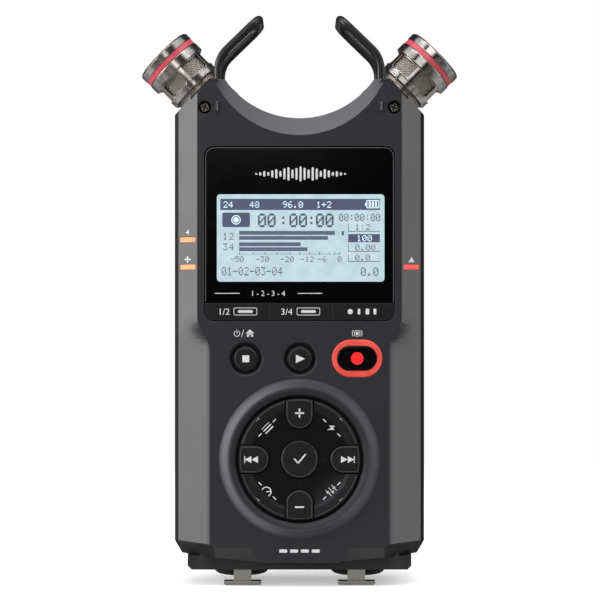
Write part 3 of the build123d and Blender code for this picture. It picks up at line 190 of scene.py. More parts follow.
def metal(name, base, rough=0.25, brush=None, strength=0.1, edge_mm=0.15, edge_gleam=1.25,
          dark_reflection=0.0):
    """Metal; brush squeezes fine lines along x, y and z, and the last argument is the depth of dark
    clouds painted in as reflection.
    """
    material, g, principled = shader(name)
    coord, blotch, _, rounded = surface(
        g, principled, grain=3000, strength=strength, edge_mm=edge_mm, rough=rough, rough_var=0.05)
    edge, _ = edge_mask(g, rounded)
    color = g.mix(blotch, shade(base, 0.9), shade(base, 1.08))
    # Painted reflection: dark clouds stand in for the dark bands that the rings reflect.
    if dark_reflection:
        cloud = g.noise(coord, scale=190, rough=0.65, stretch=(1, 2.2, 1))
        color = g.mix(g.ramp(cloud, 0.42, 0.6, high=dark_reflection), color, shade(base, 0.3))
    if brush:
        lines = g.noise(coord, scale=900, stretch=brush)
        color = g.mix(g.ramp(lines, 0.35, 0.65, high=0.35), color, shade(base, 0.72))
    # Painted highlight: the edges are drawn lighter.
    color = g.mix(g.times(edge, 0.6), color, shade(base, edge_gleam))
    g.fill(principled, {"Base Color": color, "Metallic": 1.0})
    return material


def glow(name, color, strength, base=None, rough=0.35, core=None):
    """Lit plastic whose light drifts between color and core."""
    material, g, principled = shader(name)
    surface(g, principled, grain=4200, strength=0.06, edge_mm=0.1, rough=rough, rough_var=0.03)
    drift = g.noise(g.coords(), scale=260, detail=2.0, rough=0.5)
    light = g.mix(g.ramp(drift, 0.3, 0.7), shade(color, 0.93), shade(core or color))
    g.fill(principled, {
        "Base Color": shade(base or color),
        "Emission Color": light,
        "Emission Strength": strength,
    })
    return material


def print_ink(name, color, rough=0.6, emit=0.0):
    material, g, principled = shader(name)
    speckle = g.noise(g.coords(), scale=3000, detail=2.0)
    tint = g.mix(speckle, shade(color, 0.9), shade(color))
    g.fill(principled, {
        "Base Color": tint,
        "Roughness": g.ramp(speckle, 0.3, 0.7, low=rough - 0.08, high=rough + 0.08),
    })
    # Painted light: the legend and record inks glow a little of their own; on the screen the glow is its
    # backlight.
    if emit:
        g.fill(principled, {"Emission Color": tint, "Emission Strength": emit})
    return material


# ------------------------------------------------------------------ local painted light and shade (metres)
def foot_highlight(g, coord, color):
    """Connector panel: a painted highlight, a paler upright band near each rounded corner."""
    across = g.math("ABSOLUTE", g.split(coord)[0])
    band = g.times(g.ramp(across, 0.0247, 0.0268), g.ramp(across, 0.0296, 0.0275))
    return g.mix(g.times(band, 0.8), color, shade((0.028, 0.028, 0.031)))


def dial_shade_and_gleam(g, coord, color):
    """Quadrant keys: painted shade darkens the dish, leaving the rim paler, and a painted reflection lays
    a soft gleam towards the lower right.
    """
    x, _, z = g.split(coord)
    up, radius = dial_polar(g, x, z)
    color = g.mix(g.ramp(radius, 0.0141, 0.0133), color, shade((0.0022, 0.0022, 0.0026)))
    lean = g.times(g.math("SUBTRACT", x, up), 0.7071)
    corner = g.times(g.ramp(x, 0.001, 0.006), g.ramp(up, -0.001, -0.007))
    gleam = g.times(g.ramp(lean, 0.0075, 0.0135), corner)
    depth = g.ramp(radius, 0.0142, 0.0136, low=0.08, high=0.32)
    return g.mix(g.times(gleam, depth), color, shade((0.06, 0.065, 0.072)))


FACE_DARK, FACE_LIGHT = (0.018, 0.018, 0.0215), (0.0225, 0.0225, 0.0265)
# Painted light and shade on the front casing: lit bevels, ridge, bowl and chin; shaded wells, foot
# corners and edge strips.
BEVEL = (0.128, 0.128, 0.125)
RIDGE_HIGHLIGHT = (0.13, 0.13, 0.138)
BOWL_LIT = (0.10, 0.098, 0.106)
WELL_SHADE = (0.004, 0.004, 0.005)
FOOT_CORNER_SHADE = (0.0125, 0.0125, 0.013)
CHIN_SHEEN = (0.068, 0.067, 0.066)
SIDE_STRIP_SHADE = (0.0085, 0.0085, 0.0093)


def casing_material():
    """Front casing: charcoal panel whose side bevels and bowl edge, the same paint as the panel, are
    drawn lighter as painted light.

    Masks are picked by position in metres and by the direction of the true normal.
    """
    material, g, principled = shader("front_casing_finish")
    coord, blotch, fine, rounded = surface(
        g, principled, grain=5600, strength=0.28, edge_mm=0.3, rough=0.5, rough_var=0.05)
    edge, true_normal = edge_mask(g, rounded)
    normal_x, _, normal_z = g.split(true_normal)
    x, y, z = g.split(coord)
    sideways = g.math("ABSOLUTE", normal_x)
    across = g.math("ABSOLUTE", x)

    # Painted light: the side bevels are drawn pale where they face the side lamps, and the upward-facing
    # bowl edge where the top lamp falls on it.
    side = g.times(
        g.ramp(sideways, 0.2, 0.45),
        g.ramp(across, 0.0243, 0.0262),
        g.invert(g.ramp(across, 0.03375, 0.0340)),
        g.ramp(normal_z, -0.3, -0.1))
    bowl = g.times(
        g.ramp(normal_z, 0.3, 0.55),
        g.ramp(z, 0.124 + DATUM * MM, 0.127 + DATUM * MM),
        g.ramp(normal_z, 0.97, 0.88))

    color = g.mix(blotch, shade(FACE_DARK), shade(FACE_LIGHT))
    speck = g.ramp(fine, 0.35, 0.7)
    color = g.mix(g.times(speck, 0.35), color, shade(FACE_LIGHT, 1.35))

    # Painted highlight: the ridge round the dial is drawn lighter on its slopes, most of all on the left.
    up, radius = dial_polar(g, across, z)
    crest = g.times(g.ramp(radius, 0.0189, 0.0204), g.ramp(radius, 0.0227, 0.0208))
    toward_x = g.math("DIVIDE", x, radius)
    toward_z = g.math("DIVIDE", up, radius)
    sides_lit = g.math("ADD", g.ramp(toward_x, 0.1, -0.95), g.ramp(toward_x, 0.3, 0.95, high=0.5))
    ends_lit = g.math("ADD", g.ramp(toward_z, -0.2, -0.95, high=0.3),
                      g.ramp(toward_z, 0.4, 0.95, high=0.12))
    turned = g.math("ADD", sides_lit, ends_lit, clamp=True)
    color = g.mix(g.times(crest, turned), color, shade(RIDGE_HIGHLIGHT))

    # Painted shade: the wells round the keys and the gap round the dial are drawn deep black.
    deep = g.times(
        g.ramp(y, -0.0162, -0.0158),
        g.ramp(across, 0.0272, 0.0268),
        g.times(g.ramp(z, 0.0165, 0.0175), g.ramp(z, 0.124, 0.1235)))
    near_dial = g.invert(g.ramp(radius, 0.0222, 0.0228))
    inner = g.times(near_dial, g.invert(g.ramp(radius, 0.0176, 0.0184)))
    color = g.mix(g.math("MAXIMUM", deep, inner), color, shade(WELL_SHADE))

    # Undersides at the foot: painted shade darkens the corners, and a painted reflection makes the slope
    # between them paler.
    low = g.ramp(z, 0.0132 + DATUM * MM, 0.0130 + DATUM * MM)
    corner = g.times(g.ramp(normal_z, -0.3, -0.5), low, g.ramp(across, 0.0236, 0.0238))
    chin = g.times(
        g.ramp(normal_z, -0.55, -0.6),
        low,
        g.ramp(across, 0.0238, 0.0236),
        g.ramp(normal_z, -0.8, -0.7))
    color = g.mix(corner, color, shade(FOOT_CORNER_SHADE))
    color = g.mix(g.times(chin, 0.9), color, shade(CHIN_SHEEN))

    # Painted shade: the narrow strips at the outer edges are drawn darker where they turn to the side.
    strip = g.times(g.ramp(across, 0.03375, 0.0340), g.ramp(sideways, 0.3, 0.5))
    color = g.mix(strip, color, shade(SIDE_STRIP_SHADE))
    color = g.mix(side, color, shade(BEVEL))
    color = g.mix(bowl, color, shade(BOWL_LIT))
    # Painted highlight: the edges are drawn lighter in uneven patches.
    patch = g.ramp(g.noise(coord, scale=350), 0.3, 0.6)
    edge_highlight = g.math("MULTIPLY", edge, patch, clamp=True)
    color = g.mix(g.times(edge_highlight, 0.6), color, shade(FACE_LIGHT, 3.2))
    g.fill(principled, {
        "Base Color": color,
        "Specular IOR Level": g.ramp(strip, 0.0, 1.0, low=0.3, high=0.12),
    })
    return material


# ------------------------------------------------------------------ finishes and inks
M = {
    "casing": casing_material(),
    "side_casing": plastic("rear_casing_finish", (0.0175, 0.0175, 0.019), grain=5600,
                           strength=0.28, edge_light=2.4, edge_mm=0.3, spec=0.25),
    "dark_plastic": plastic("dark_plastic_finish", (0.0095, 0.0095, 0.0105), rough=0.46,
                            edge_light=1.8, edge_mm=0.15),
    "gloss_black": plastic("gloss_black_finish", (0.0016, 0.0016, 0.0018), rough=0.12, grain=900,
                           strength=0.01, edge_light=2.0, edge_mm=0.1, spec=0.12,
                           rough_var=0.02),
    "key_black": plastic("key_finish", (0.0095, 0.0095, 0.0105), rough=0.42, grain=4800,
                         strength=0.12, edge_light=9.0, edge_mm=0.16, spec=0.22, even=True),
    "cap": plastic("connector_panel_finish", (0.0105, 0.0105, 0.0115), rough=0.46,
                   edge_light=1.8, edge_mm=0.15, tone=foot_highlight),
    "neck": metal("neck_finish", (0.40, 0.345, 0.305), rough=0.26, brush=(1, 1, 14),
                  strength=0.05, edge_mm=0.14, dark_reflection=0.12),
    "dial": plastic("dial_key_finish", (0.0115, 0.0115, 0.0125), rough=0.42, grain=4800,
                    strength=0.12, edge_light=7.0, edge_mm=0.16, spec=0.16, even=True,
                    tone=dial_shade_and_gleam),
    "lcd": glow("lcd_finish", (0.4, 0.58, 0.64), strength=0.3),
    "light_guide": glow("light_guide_finish", (0.8, 0.9, 0.95), strength=0.6),
    "ring_light": glow("ring_light_finish", (0.86, 0.075, 0.055), strength=0.62,
                       base=(0.3, 0.03, 0.02), core=(0.95, 0.12, 0.09)),
    "amber_lens": glow("amber_lens_finish", (1.0, 0.25, 0.06), strength=0.95,
                       base=(0.5, 0.12, 0.03), core=(1.0, 0.33, 0.1)),
    "red_lens": glow("red_lens_finish", (0.98, 0.06, 0.045), strength=0.95,
                     base=(0.5, 0.02, 0.02), core=(1.0, 0.1, 0.08)),
    "wire": plastic("guard_finish", (0.009, 0.009, 0.0098), rough=0.36, grain=2600,
                    strength=0.05, edge_light=1.6, edge_mm=0.1, spec=0.4, rough_var=0.05),
    "nickel": metal("nickel_finish", (0.62, 0.585, 0.55), rough=0.16, brush=(1, 1, 1),
                    strength=0.04, edge_mm=0.14, dark_reflection=0.75),
    "mesh_metal": metal("mesh_finish", (0.40, 0.37, 0.32), rough=0.5, strength=0.2,
                        edge_mm=0.05),
    "ring_red": plastic("ring_red_finish", (0.66, 0.085, 0.115), rough=0.3, grain=4000,
                        strength=0.05, edge_light=1.2, edge_mm=0.1, coat=0.3),
    "board": plastic("board_finish", (0.01, 0.09, 0.035), rough=0.4, grain=2600, strength=0.1,
                     edge_light=1.3, edge_mm=0.1),
    "steel": metal("steel_finish", (0.55, 0.54, 0.52), rough=0.3, brush=(1, 1, 12),
                   strength=0.06),
    "brass": metal("brass_finish", (0.68, 0.48, 0.2), rough=0.3, brush=(1, 1, 8),
                   strength=0.08),
    "cell": plastic("cell_finish", (0.05, 0.05, 0.055), rough=0.3, grain=2600, strength=0.05,
                    edge_mm=0.2, coat=0.2),
}
INK = print_ink("legend_ink", (0.72, 0.72, 0.72), rough=0.55, emit=0.08)
INK_EDGE_HIGHLIGHT = print_ink("edge_highlight_ink", (0.085, 0.085, 0.09), rough=0.4)
INK_SCREW = print_ink("screw_glint_ink", (0.36, 0.34, 0.28), rough=0.3)
INK_DARK = print_ink("shade_ink", (0.006, 0.006, 0.007))
INK_HIGHLIGHT = print_ink("highlight_line_ink", (0.16, 0.16, 0.165), rough=0.4)
INK_RED = print_ink("record_ink", (0.95, 0.012, 0.012), rough=0.4, emit=0.5)
LCD_GLOW = glow("lcd_glow", (0.515, 0.685, 0.75), strength=0.92, base=(0.08, 0.1, 0.11),
                rough=0.2, core=(0.56, 0.72, 0.78))
LCD_DARK = print_ink("lcd_dark", (0.052, 0.058, 0.105), rough=0.35, emit=0.8)
LCD_PALE = print_ink("lcd_pale", (0.5, 0.66, 0.74), rough=0.35, emit=0.9)

slot_of = {part["node"]: part["material_slot"] for part in frame["record"]["subparts"]}


def material_for(name):
    """The piece's slot finish, unless the piece has one of its own."""
    if name in ("shoulder_screws", "casing_screws"):
        return metal("screw_finish_" + name, (0.035, 0.032, 0.028), rough=0.35, strength=0.2,
                     edge_gleam=5.0)
    if name in ("menu_key", "quick_key", "playback_key", "mixer_key"):
        return M["dial"]
    if name == "bottom_cap":
        return M["cap"]
    if name in ("mic_neck_left", "mic_neck_right"):
        return M["neck"]
    if name.startswith("latch_"):
        return metal("latch_finish_" + name, (0.40, 0.39, 0.345), rough=0.24,
                     brush=(12, 1, 1), strength=0.08)
    return M[slot_of[name]]


for name, piece in frame["nodes"].items():
    material = material_for(name)
    if not piece.material_slots:
        piece.data.materials.append(material)
    for slot in piece.material_slots:
        slot.material = material
    for polygon in piece.data.polygons:
        polygon.use_smooth = True
    piece.data.set_sharp_from_angle(angle=math.radians(28))


# ------------------------------------------------------------------ making marks
def add_piece(name, verts, faces, material, body, smooth=False):
    mesh = bpy.data.meshes.new(name)
    mesh.from_pydata(verts, [], faces)
    mesh.update()
    for polygon in mesh.polygons:
        polygon.use_smooth = smooth
    piece = bpy.data.objects.new(name, mesh)
    bpy.context.scene.collection.objects.link(piece)
    mesh.materials.append(material)
    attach(piece, body)


def add_slabs(name, loops, front_point, back_point, material, body):
    """Thin slabs, open at the back, one per simple (x, z) outline.

    The two functions turn an outline's (x, z) into a vertex of its front or its back.
    """
    verts, faces = [], []
    for loop in loops:
        following = loop[1:] + loop[:1]
        area = sum(xa * zb - xb * za for (xa, za), (xb, zb) in zip(loop, following))
        points = loop if area > 0 else loop[::-1]
        k, n = len(verts), len(points)
        verts += [front_point(x, z) for x, z in points]
        verts += [back_point(x, z) for x, z in points]
        faces.append(tuple(range(k, k + n)))
        for i in range(n):
            j = (i + 1) % n
            faces.append((k + j, k + i, k + n + i, k + n + j))
    add_piece(name, verts, faces, material, body)


def place(x, y, z):
    return x * MM, y * MM, (z + DATUM) * MM


def add_mark(name, loops, y, ink, body, thick=0.02):
    """Flat mark whose front lies at depth y and looks along -Y."""
    add_slabs(name, loops, lambda px, pz: place(px, y, pz),
              lambda px, pz: place(px, y + thick, pz), ink, body)


def key_mark(name, loops, y, key, ink=INK, thick=0.02):
    add_mark(name, loops, y, ink, key, thick)


# Outlines: each is a list of (x, z) points; functions that make several return a list of them.
def rect(x0, z0, x1, z1):
    return [(x0, z0), (x1, z0), (x1, z1), (x0, z1)]


def polar(cx, cz, r, degrees):
    angle = math.radians(degrees)
    return cx + r * math.cos(angle), cz + r * math.sin(angle)


def disc(cx, cz, r, n=40):
    return [polar(cx, cz, r, 360 * i / n) for i in range(n)]


def arc_band(cx, cz, r0, r1, a0, a1, n):
    """n quads covering a ring segment, angles in degrees."""
    quads = []
    for i in range(n):
        a, b = (a0 + (a1 - a0) * t / n for t in (i, i + 1))
        quads.append([polar(cx, cz, r0, a), polar(cx, cz, r1, a),
                      polar(cx, cz, r1, b), polar(cx, cz, r0, b)])
    return quads


def stroke(points, width, closed=False):
    """Quads along a polyline, each run on a little past its ends."""
    quads = []
    points = points + points[:1] if closed else points
    for (xa, za), (xb, zb) in zip(points, points[1:]):
        dx, dz = xb - xa, zb - za
        length = math.hypot(dx, dz) or 1.0
        nx, nz = -dz / length * width / 2, dx / length * width / 2
        ex, ez = nz * 0.8, -nx * 0.8
        quads.append([(xa - ex + nx, za - ez + nz), (xa - ex - nx, za - ez - nz),
                      (xb + ex - nx, zb + ez - nz), (xb + ex + nx, zb + ez + nz)])
    return quads


def round_rect(x0, z0, x1, z1, r, n=8):
    corners = ((x1 - r, z1 - r, 0), (x0 + r, z1 - r, 90),
               (x0 + r, z0 + r, 180), (x1 - r, z0 + r, 270))
    return [polar(cx, cz, r, a + 90 * i / n) for cx, cz, a in corners for i in range(n + 1)]


def hollow_rect(x0, z0, x1, z1, r, wall, inner_r, n=8):
    """Quads filling the wall of a rounded frame."""
    outer = round_rect(x0, z0, x1, z1, r, n)
    inner = round_rect(x0 + wall, z0 + wall, x1 - wall, z1 - wall, inner_r, n)
    return [[outer[i - 1], outer[i], inner[i], inner[i - 1]]
            for i in (*range(1, len(outer)), 0)]


def turn(loops, cx, cz, degrees):
    c, s = math.cos(math.radians(degrees)), math.sin(math.radians(degrees))
    return [[(cx + (x - cx) * c - (z - cz) * s, cz + (x - cx) * s + (z - cz) * c)
             for x, z in loop] for loop in loops]


def shift(loops, dx, dz):
    return [[(x + dx, z + dz) for x, z in loop] for loop in loops]


# 5 by 7 dot characters, row by row from the top
DOTS = {
    "0": "01110100011000110101110011000101110".replace("10001100011010111", "10001100011101011"),
    "1": "00100011000010000100001000010001110",
    "2": "01110100010000100010001000100011111",
    "3": "11111000100010000010000011000101110",
    "4": "00010001100101010010111110001000010",
    "5": "11111100001111000001000011000101110",
    "6": "00110010001000011110100011000101110",
    "8": "01110100011000101110100011000101110",
    "9": "01110100011000101111000010001001100",
    ":": "00000001000010000000001000010000000",
    "-": "00000000000000011111000000000000000",
    ".": "00000000000000000000000000110001100",
    "+": "00000001000010011111001000010000000",
}
DOTS["0"] = "01110100011000110101" + "110011000101110" if False else "01110100011001110101110011000101110"


def dots(text, x, top, pitch_x, pitch_z, gap=1.0, fill=0.9):
    """Dot characters from left edge x and top edge; dots that touch in a row are one bar."""
    bars = []
    for char in text:
        bits = DOTS[char]
        for row in range(7):
            c = 0
            while c < 5:
                if bits[row * 5 + c] == "1":
                    e = c
                    while e + 1 < 5 and bits[row * 5 + e + 1] == "1":
                        e += 1
                    bars.append(rect(x + c * pitch_x, top - (row + fill) * pitch_z,
                                     x + (e + fill) * pitch_x, top - row * pitch_z))
                    c = e + 1
                else:
                    c += 1
        x += (5 + gap) * pitch_x
    return bars


def font_loops(text, cx, cz, height, widen=1.0):
    """Text in Blender's built-in face as triangles, centred on (cx, cz)."""
    curve = bpy.data.curves.new("tmp_text", "FONT")
    curve.body = text
    curve.resolution_u = 4
    holder = bpy.data.objects.new("tmp_text", curve)
    bpy.context.scene.collection.objects.link(holder)
    depsgraph = bpy.context.evaluated_depsgraph_get()
    mesh = bpy.data.meshes.new_from_object(holder.evaluated_get(depsgraph))
    mesh.calc_loop_triangles()
    triangles = [[mesh.vertices[v].co.xy.to_tuple() for v in t.vertices]
                 for t in mesh.loop_triangles]
    bpy.data.objects.remove(holder)
    bpy.data.meshes.remove(mesh)
    xs, zs = zip(*[point for triangle in triangles for point in triangle])
    k = height / (max(zs) - min(zs))
    mx, mz = (max(xs) + min(xs)) / 2, (max(zs) + min(zs)) / 2
    return [[(cx + (x - mx) * k * widen, cz + (z - mz) * k) for x, z in t] for t in triangles]


# ------------------------------------------------------------------ display
SCREEN_THICK = 0.012
READOUT_RIGHT = 22.308
METER_LEFT = -16.735

add_mark("lcd_screen_face", [round_rect(-22.927, 86.287, 23.566, 110.525, 0.95)],
         WINDOW_Y - 0.01, LCD_GLOW, "housing", SCREEN_THICK)
dark, pale = [], []

# Header bar, with a battery sign at its right end
HEADER_TEXT_TOP = 108.542
BATTERY_LEFT = 18.583
dark.append(rect(-21.960, 106.171, READOUT_RIGHT, 109.268))
for text, x in (("24", -21.137), ("48", -13.832), ("96.0", -4.640), ("1+2", 4.698)):
    pale += dots(text, x, HEADER_TEXT_TOP, pitch_x=0.245, pitch_z=0.25)
pale += hollow_rect(BATTERY_LEFT, 106.655, 22.115, 108.929, r=0.2, wall=0.2419, inner_r=0.12, n=2)
pale.append(rect(18.196, 107.332, BATTERY_LEFT, 108.203))
for k in range(3):
    x = 19.212 + 0.87084 * k
    pale.append(rect(x, 107.042, x + 0.532, HEADER_TEXT_TOP))

# Badge with a ringed dot
BADGE_CENTRE = (-17.605, 103.438)
dark.append(round_rect(-21.427, 101.430, -13.735, 105.446, 0.5))
pale += arc_band(*BADGE_CENTRE, 1.05, 1.3, 0, 360, 28)
pale.append(disc(*BADGE_CENTRE, 0.75, 24))

# Large counter, its two colons, and the small counter beside it
for x in (-11.509, -2.801, 4.553):
    dark += dots("00", x, 105.204, pitch_x=0.44, pitch_z=0.535, fill=1.12)
for x in (-4.785, 3.005):
    for bottom in (103.704, 102.252):
        dark.append(rect(x, bottom, x + 0.6, bottom + 0.629))
dark += dots("00:00:00", 10.939, 105.107, pitch_x=0.245, pitch_z=0.29)

# Level meters: number of bars, bottom, top
METERS = (
    (98, 99.253, 100.366),
    (91, 97.898, 98.963),
    (63, 96.108, 97.221),
    (70, 94.754, 95.818),
)
for count, bottom, top in METERS:
    for k in range(count):
        x = METER_LEFT + 0.270928 * k
        dark.append(rect(x, bottom, x + 0.25158, top))
dark.append(rect(11.713, 99.205, 12.342, 100.269))
for text, x, top in (("1", -21.234, 99.833), ("2", -19.492, 99.833),
                     ("3", -21.234, 96.882), ("4", -19.492, 96.882)):
    dark += dots(text, x, top, pitch_x=0.25, pitch_z=0.27)

# Meter scale: fine ticks, long ticks, and numbers by their centres
SCALE_Z = 93.834
for k in range(97):
    x = METER_LEFT + 0.29028 * k
    dark.append(rect(x, SCALE_Z, x + 0.14514, 94.028))
for x in (METER_LEFT, -12.961, -9.671, -6.333, -2.753, -0.043, 2.714, 5.424, 8.181, 9.633, 11.084):
    dark.append(rect(x, SCALE_Z, x + 0.19352, 94.415))
for text, x in (("-50", -17.315), ("-30", -10.300), ("-20", -3.430),
                ("-12", 2.134), ("-6", 6.294), ("0", 11.132)):
    width = (len(text) * 6 - 1) * 0.218
    dark += dots(text, x - width / 2, 93.302, pitch_x=0.218, pitch_z=0.222)

# Readouts on the right, underlined or reversed: bottom, top, text, reversed
READOUT_LEFT = 13.503
READOUTS = (
    (100.172, 102.398, "1:2", False),
    (97.221, 99.495, "100", True),
    (94.608, 96.737, "0.00", False),
    (91.802, 93.931, "0.0", False),
)
for bottom, top, text, is_reversed in READOUTS:
    if is_reversed:
        dark.append(rect(READOUT_LEFT, bottom, READOUT_RIGHT, top))
        pale += dots(text, 15.922, top - 0.339, pitch_x=0.245, pitch_z=0.24)
    else:
        dark.append(rect(READOUT_LEFT, bottom, READOUT_LEFT + 0.145, top))
        dark.append(rect(READOUT_LEFT, bottom, READOUT_RIGHT, bottom + 0.194))
        dark += dots(text, 15.438, top - 0.145, pitch_x=0.245, pitch_z=0.235)

# Bottom row
dark += dots("01-02-03-04", -21.573, 90.303, pitch_x=0.255, pitch_z=0.33, gap=1.1)
dark += dots("0.0", 16.986, 90.206, pitch_x=0.29, pitch_z=0.33)
add_mark("lcd_marks_dark", dark, WINDOW_Y - 0.018, LCD_DARK, "housing", SCREEN_THICK)
add_mark("lcd_marks_pale", pale, WINDOW_Y - 0.026, LCD_PALE, "housing", SCREEN_THICK)

# Painted highlight: a thin light line up both sides of the window, round its top corners and across the
# top
CORNER_X, CORNER_Z = 23.6, 121.1
CORNER_WIDE, CORNER_HIGH = 2.5, 2.4
LINE_WIDTH = 0.12


def window_side(inset):
    wide, high = CORNER_WIDE - inset, CORNER_HIGH - inset
    angles = [math.radians(a) for a in range(10, 91, 10)]
    return [(CORNER_X + wide, 80.75), (CORNER_X + wide, CORNER_Z)] + [
        (CORNER_X + wide * math.cos(a), CORNER_Z + high * math.sin(a)) for a in angles]


outer, inner = window_side(0.0), window_side(LINE_WIDTH)
line = []
for sign in (1, -1):
    for k in range(len(outer) - 1):
        quad = (outer[k], outer[k + 1], inner[k + 1], inner[k])
        line.append([(sign * x, z) for x, z in quad])
line_top = CORNER_Z + CORNER_HIGH
line.append(rect(-CORNER_X, line_top - LINE_WIDTH, CORNER_X, line_top))
add_mark("window_line", line, WINDOW_Y - 0.01, INK_HIGHLIGHT, "housing", SCREEN_THICK)

# Waveform over the screen, and the numbered line under it
half_wave = [0.5, 0.9, 1.5, 1.0, 1.9, 2.6, 1.6, 3.0, 3.7, 2.4, 3.3]
wave = half_wave + [4.1] + half_wave[::-1]
WAVE_X, WAVE_Z = 0.295, 116.186
legend = []
for k, height in enumerate(wave):
    x = WAVE_X + (k - (len(wave) - 1) / 2) * 1.12
    legend.append(round_rect(x - 0.3, WAVE_Z - height / 2, x + 0.3, WAVE_Z + height / 2, 0.24, 4))
legend.append(rect(-23.508, 82.949, -16.589, 83.142))
legend.append(rect(-0.527, 82.949, 6.343, 83.142))
legend += font_loops("1 - 2 - 3 - 4", -8.558, 83.046, height=1.45)
add_mark("display_legend", legend, WINDOW_Y - 0.01, INK, "housing", SCREEN_THICK)

# ------------------------------------------------------------------ function keys
FUNCTION_Z = 77.966
# key, text, text centre x, frame left and right, pill left and right
FUNCTION_KEYS = (
    ("function_key_1", "1/2", -20.750, -18.283, -11.751, -17.073, -12.961),
    ("function_key_2", "3/4", -3.527, -0.769, 5.714, 0.440, 4.504),
)
for key, text, text_x, left, right, pill_left, pill_right in FUNCTION_KEYS:
    loops = font_loops(text, text_x, FUNCTION_Z, height=1.75, widen=1.05)
    loops += hollow_rect(left, 76.950, right, 79.078, r=0.45, wall=0.16933, inner_r=0.32)
    loops.append(round_rect(pill_left, 77.627, pill_right, 78.401, 0.3))
    key_mark(key + "_legend", loops, WINDOW_Y - 0.01, key, thick=SCREEN_THICK)
loops = [disc(14.084, FUNCTION_Z, 0.72)]
for k, width in enumerate((0.692, 1.011, 0.798)):
    x = 16.164 + 2.1771 * k
    loops.append(round_rect(x, 77.192, x + width, 78.788, 0.2))
key_mark("function_key_3_legend", loops, WINDOW_Y - 0.01, "function_key_3", thick=SCREEN_THICK)

# ------------------------------------------------------------------ transport keys
# Panel marks above the keys: power sign, slash, house, ringed dot between two arcs
power = arc_band(-17.35, 71.9, 0.68, 0.86, -240, 60, 20) + [rect(-17.44, 71.9, -17.26, 72.95)]
slash = stroke([(-16.1, 71.0), (-15.5, 72.9)], 0.16)
house = [
    [(-14.95, 71.95), (-13.75, 73.05), (-12.55, 71.95)],
    rect(-14.6, 71.0, -14.0, 72.0),
    rect(-13.5, 71.0, -12.9, 72.0),
    rect(-14.6, 71.55, -12.9, 72.0),
]
ringed = [disc(16.0, 71.95, 0.42)] + arc_band(16.0, 71.95, 0.72, 0.9, 0, 360, 24)
for start in (-40, 140):
    ringed += arc_band(16.0, 71.95, 1.25, 1.43, start, start + 80, 8)
add_mark("panel_legend", power + slash + house + ringed, FACE_Y - 0.012, INK, "housing")

key_mark("stop_sign", [rect(-15.85, 63.95, -13.95, 65.85)], TRANSPORT_Y - 0.01, "stop_key")
key_mark("play_sign", [[(-1.0, 63.75), (1.55, 64.9), (-1.0, 66.05)]], TRANSPORT_Y - 0.01,
         "play_key")
add_mark("record_sign", [disc(16.0, 65.0, 1.72, 48)], RECORD_Y - 0.01, INK_RED,
         "record_key")

# ------------------------------------------------------------------ dial
plus = [rect(-1.25, 12.65, 1.25, 13.1), rect(-0.22, 11.62, 0.22, 14.12)]
key_mark("plus_sign", shift(plus, 0, DIAL_Z), ARM_Y - 0.01, "plus_key")
key_mark("minus_sign", [rect(-1.25, DIAL_Z - 13.4, 1.25, DIAL_Z - 12.95)], ARM_Y - 0.01,
         "minus_key")


def skip_sign(cx, sign):
    """Two triangles and a bar pointing away from the dial's centre."""
    half = 0.95
    loops = []
    for k in (-0.1, 1.75):
        tail = cx + sign * (k - 1.85)
        loops.append([(tail, DIAL_Z + half), (cx + sign * (k - 0.05), DIAL_Z),
                      (tail, DIAL_Z - half)])
    bar = cx + sign * 1.72
    loops.append(rect(bar - 0.13, DIAL_Z - half, bar + 0.13, DIAL_Z + half))
    return loops


key_mark("forward_sign", skip_sign(13.45, 1), ARM_Y - 0.01, "forward_key")
key_mark("rewind_sign", skip_sign(-13.45, -1), ARM_Y - 0.01, "rewind_key")
tick = stroke([(-1.35, 0.1), (-0.4, -1.0), (1.6, 1.35)], 0.42)
key_mark("enter_sign", shift(tick, 0, DIAL_Z), ENTER_Y - 0.01, "enter_key")

# Painted highlights along the key edges. An arm key has a round inner end, straight sides and an arched
# outer end.
ARM_HALF = 3.38
ARM_ROUND_AT = 12.25
ARM_REACH = 16.42
arm_tip = math.sqrt(ARM_REACH ** 2 - ARM_HALF ** 2)
arm = [(-ARM_HALF, arm_tip), (-ARM_HALF, ARM_ROUND_AT)]
arm += [polar(0, ARM_ROUND_AT, ARM_HALF, 180 + a) for a in range(10, 180, 10)]
arm += [(ARM_HALF, ARM_ROUND_AT), (ARM_HALF, arm_tip)]
arm += [polar(0, 0, ARM_REACH, 90 - a) for a in range(9, -10, -3)]
for name, degrees in (("plus", 0), ("minus", 180), ("rewind", 90), ("forward", -90)):
    quads = turn(stroke(arm, 0.13, closed=True), 0, 0, degrees)
    key_mark(name + "_edge", shift(quads, 0, DIAL_Z), ARM_Y - 0.008, name + "_key", INK_EDGE_HIGHLIGHT)
key_mark("enter_edge", arc_band(0, DIAL_Z, 4.68, 4.82, 150, 390, 44), ENTER_Y - 0.012,
         "enter_key", INK_EDGE_HIGHLIGHT)
for key, start in (("quick_key", 0), ("menu_key", 90), ("playback_key", 180), ("mixer_key", 270)):
    rim = arc_band(0, DIAL_Z, 16.2, 16.34, start + 15.6, start + 74.4, 26)
    key_mark(key + "_edge", rim, -16.965, key, INK_EDGE_HIGHLIGHT, thick=0.04)
for key, x in (("stop_key", -14.9), ("play_key", 0.1)):
    key_mark(key + "_edge", arc_band(x, 64.9, 2.86, 2.98, 20, 230, 30), TRANSPORT_Y - 0.008,
             key, INK_EDGE_HIGHLIGHT)

# Glints on the shoulder screws
for side, sign in SIDES:
    x, z = sign * 26.3, 134.7
    glints = []
    for a in (25, 115, 205, 295):
        glints.append(disc(*polar(x, z, 0.72, a), 0.24, 10))
        glints += arc_band(x, z, 1.0, 1.12, a + 25, a + 65, 5)
    add_mark("screw_glint_" + side, glints, -15.36, INK_SCREW, "housing", thick=0.03)


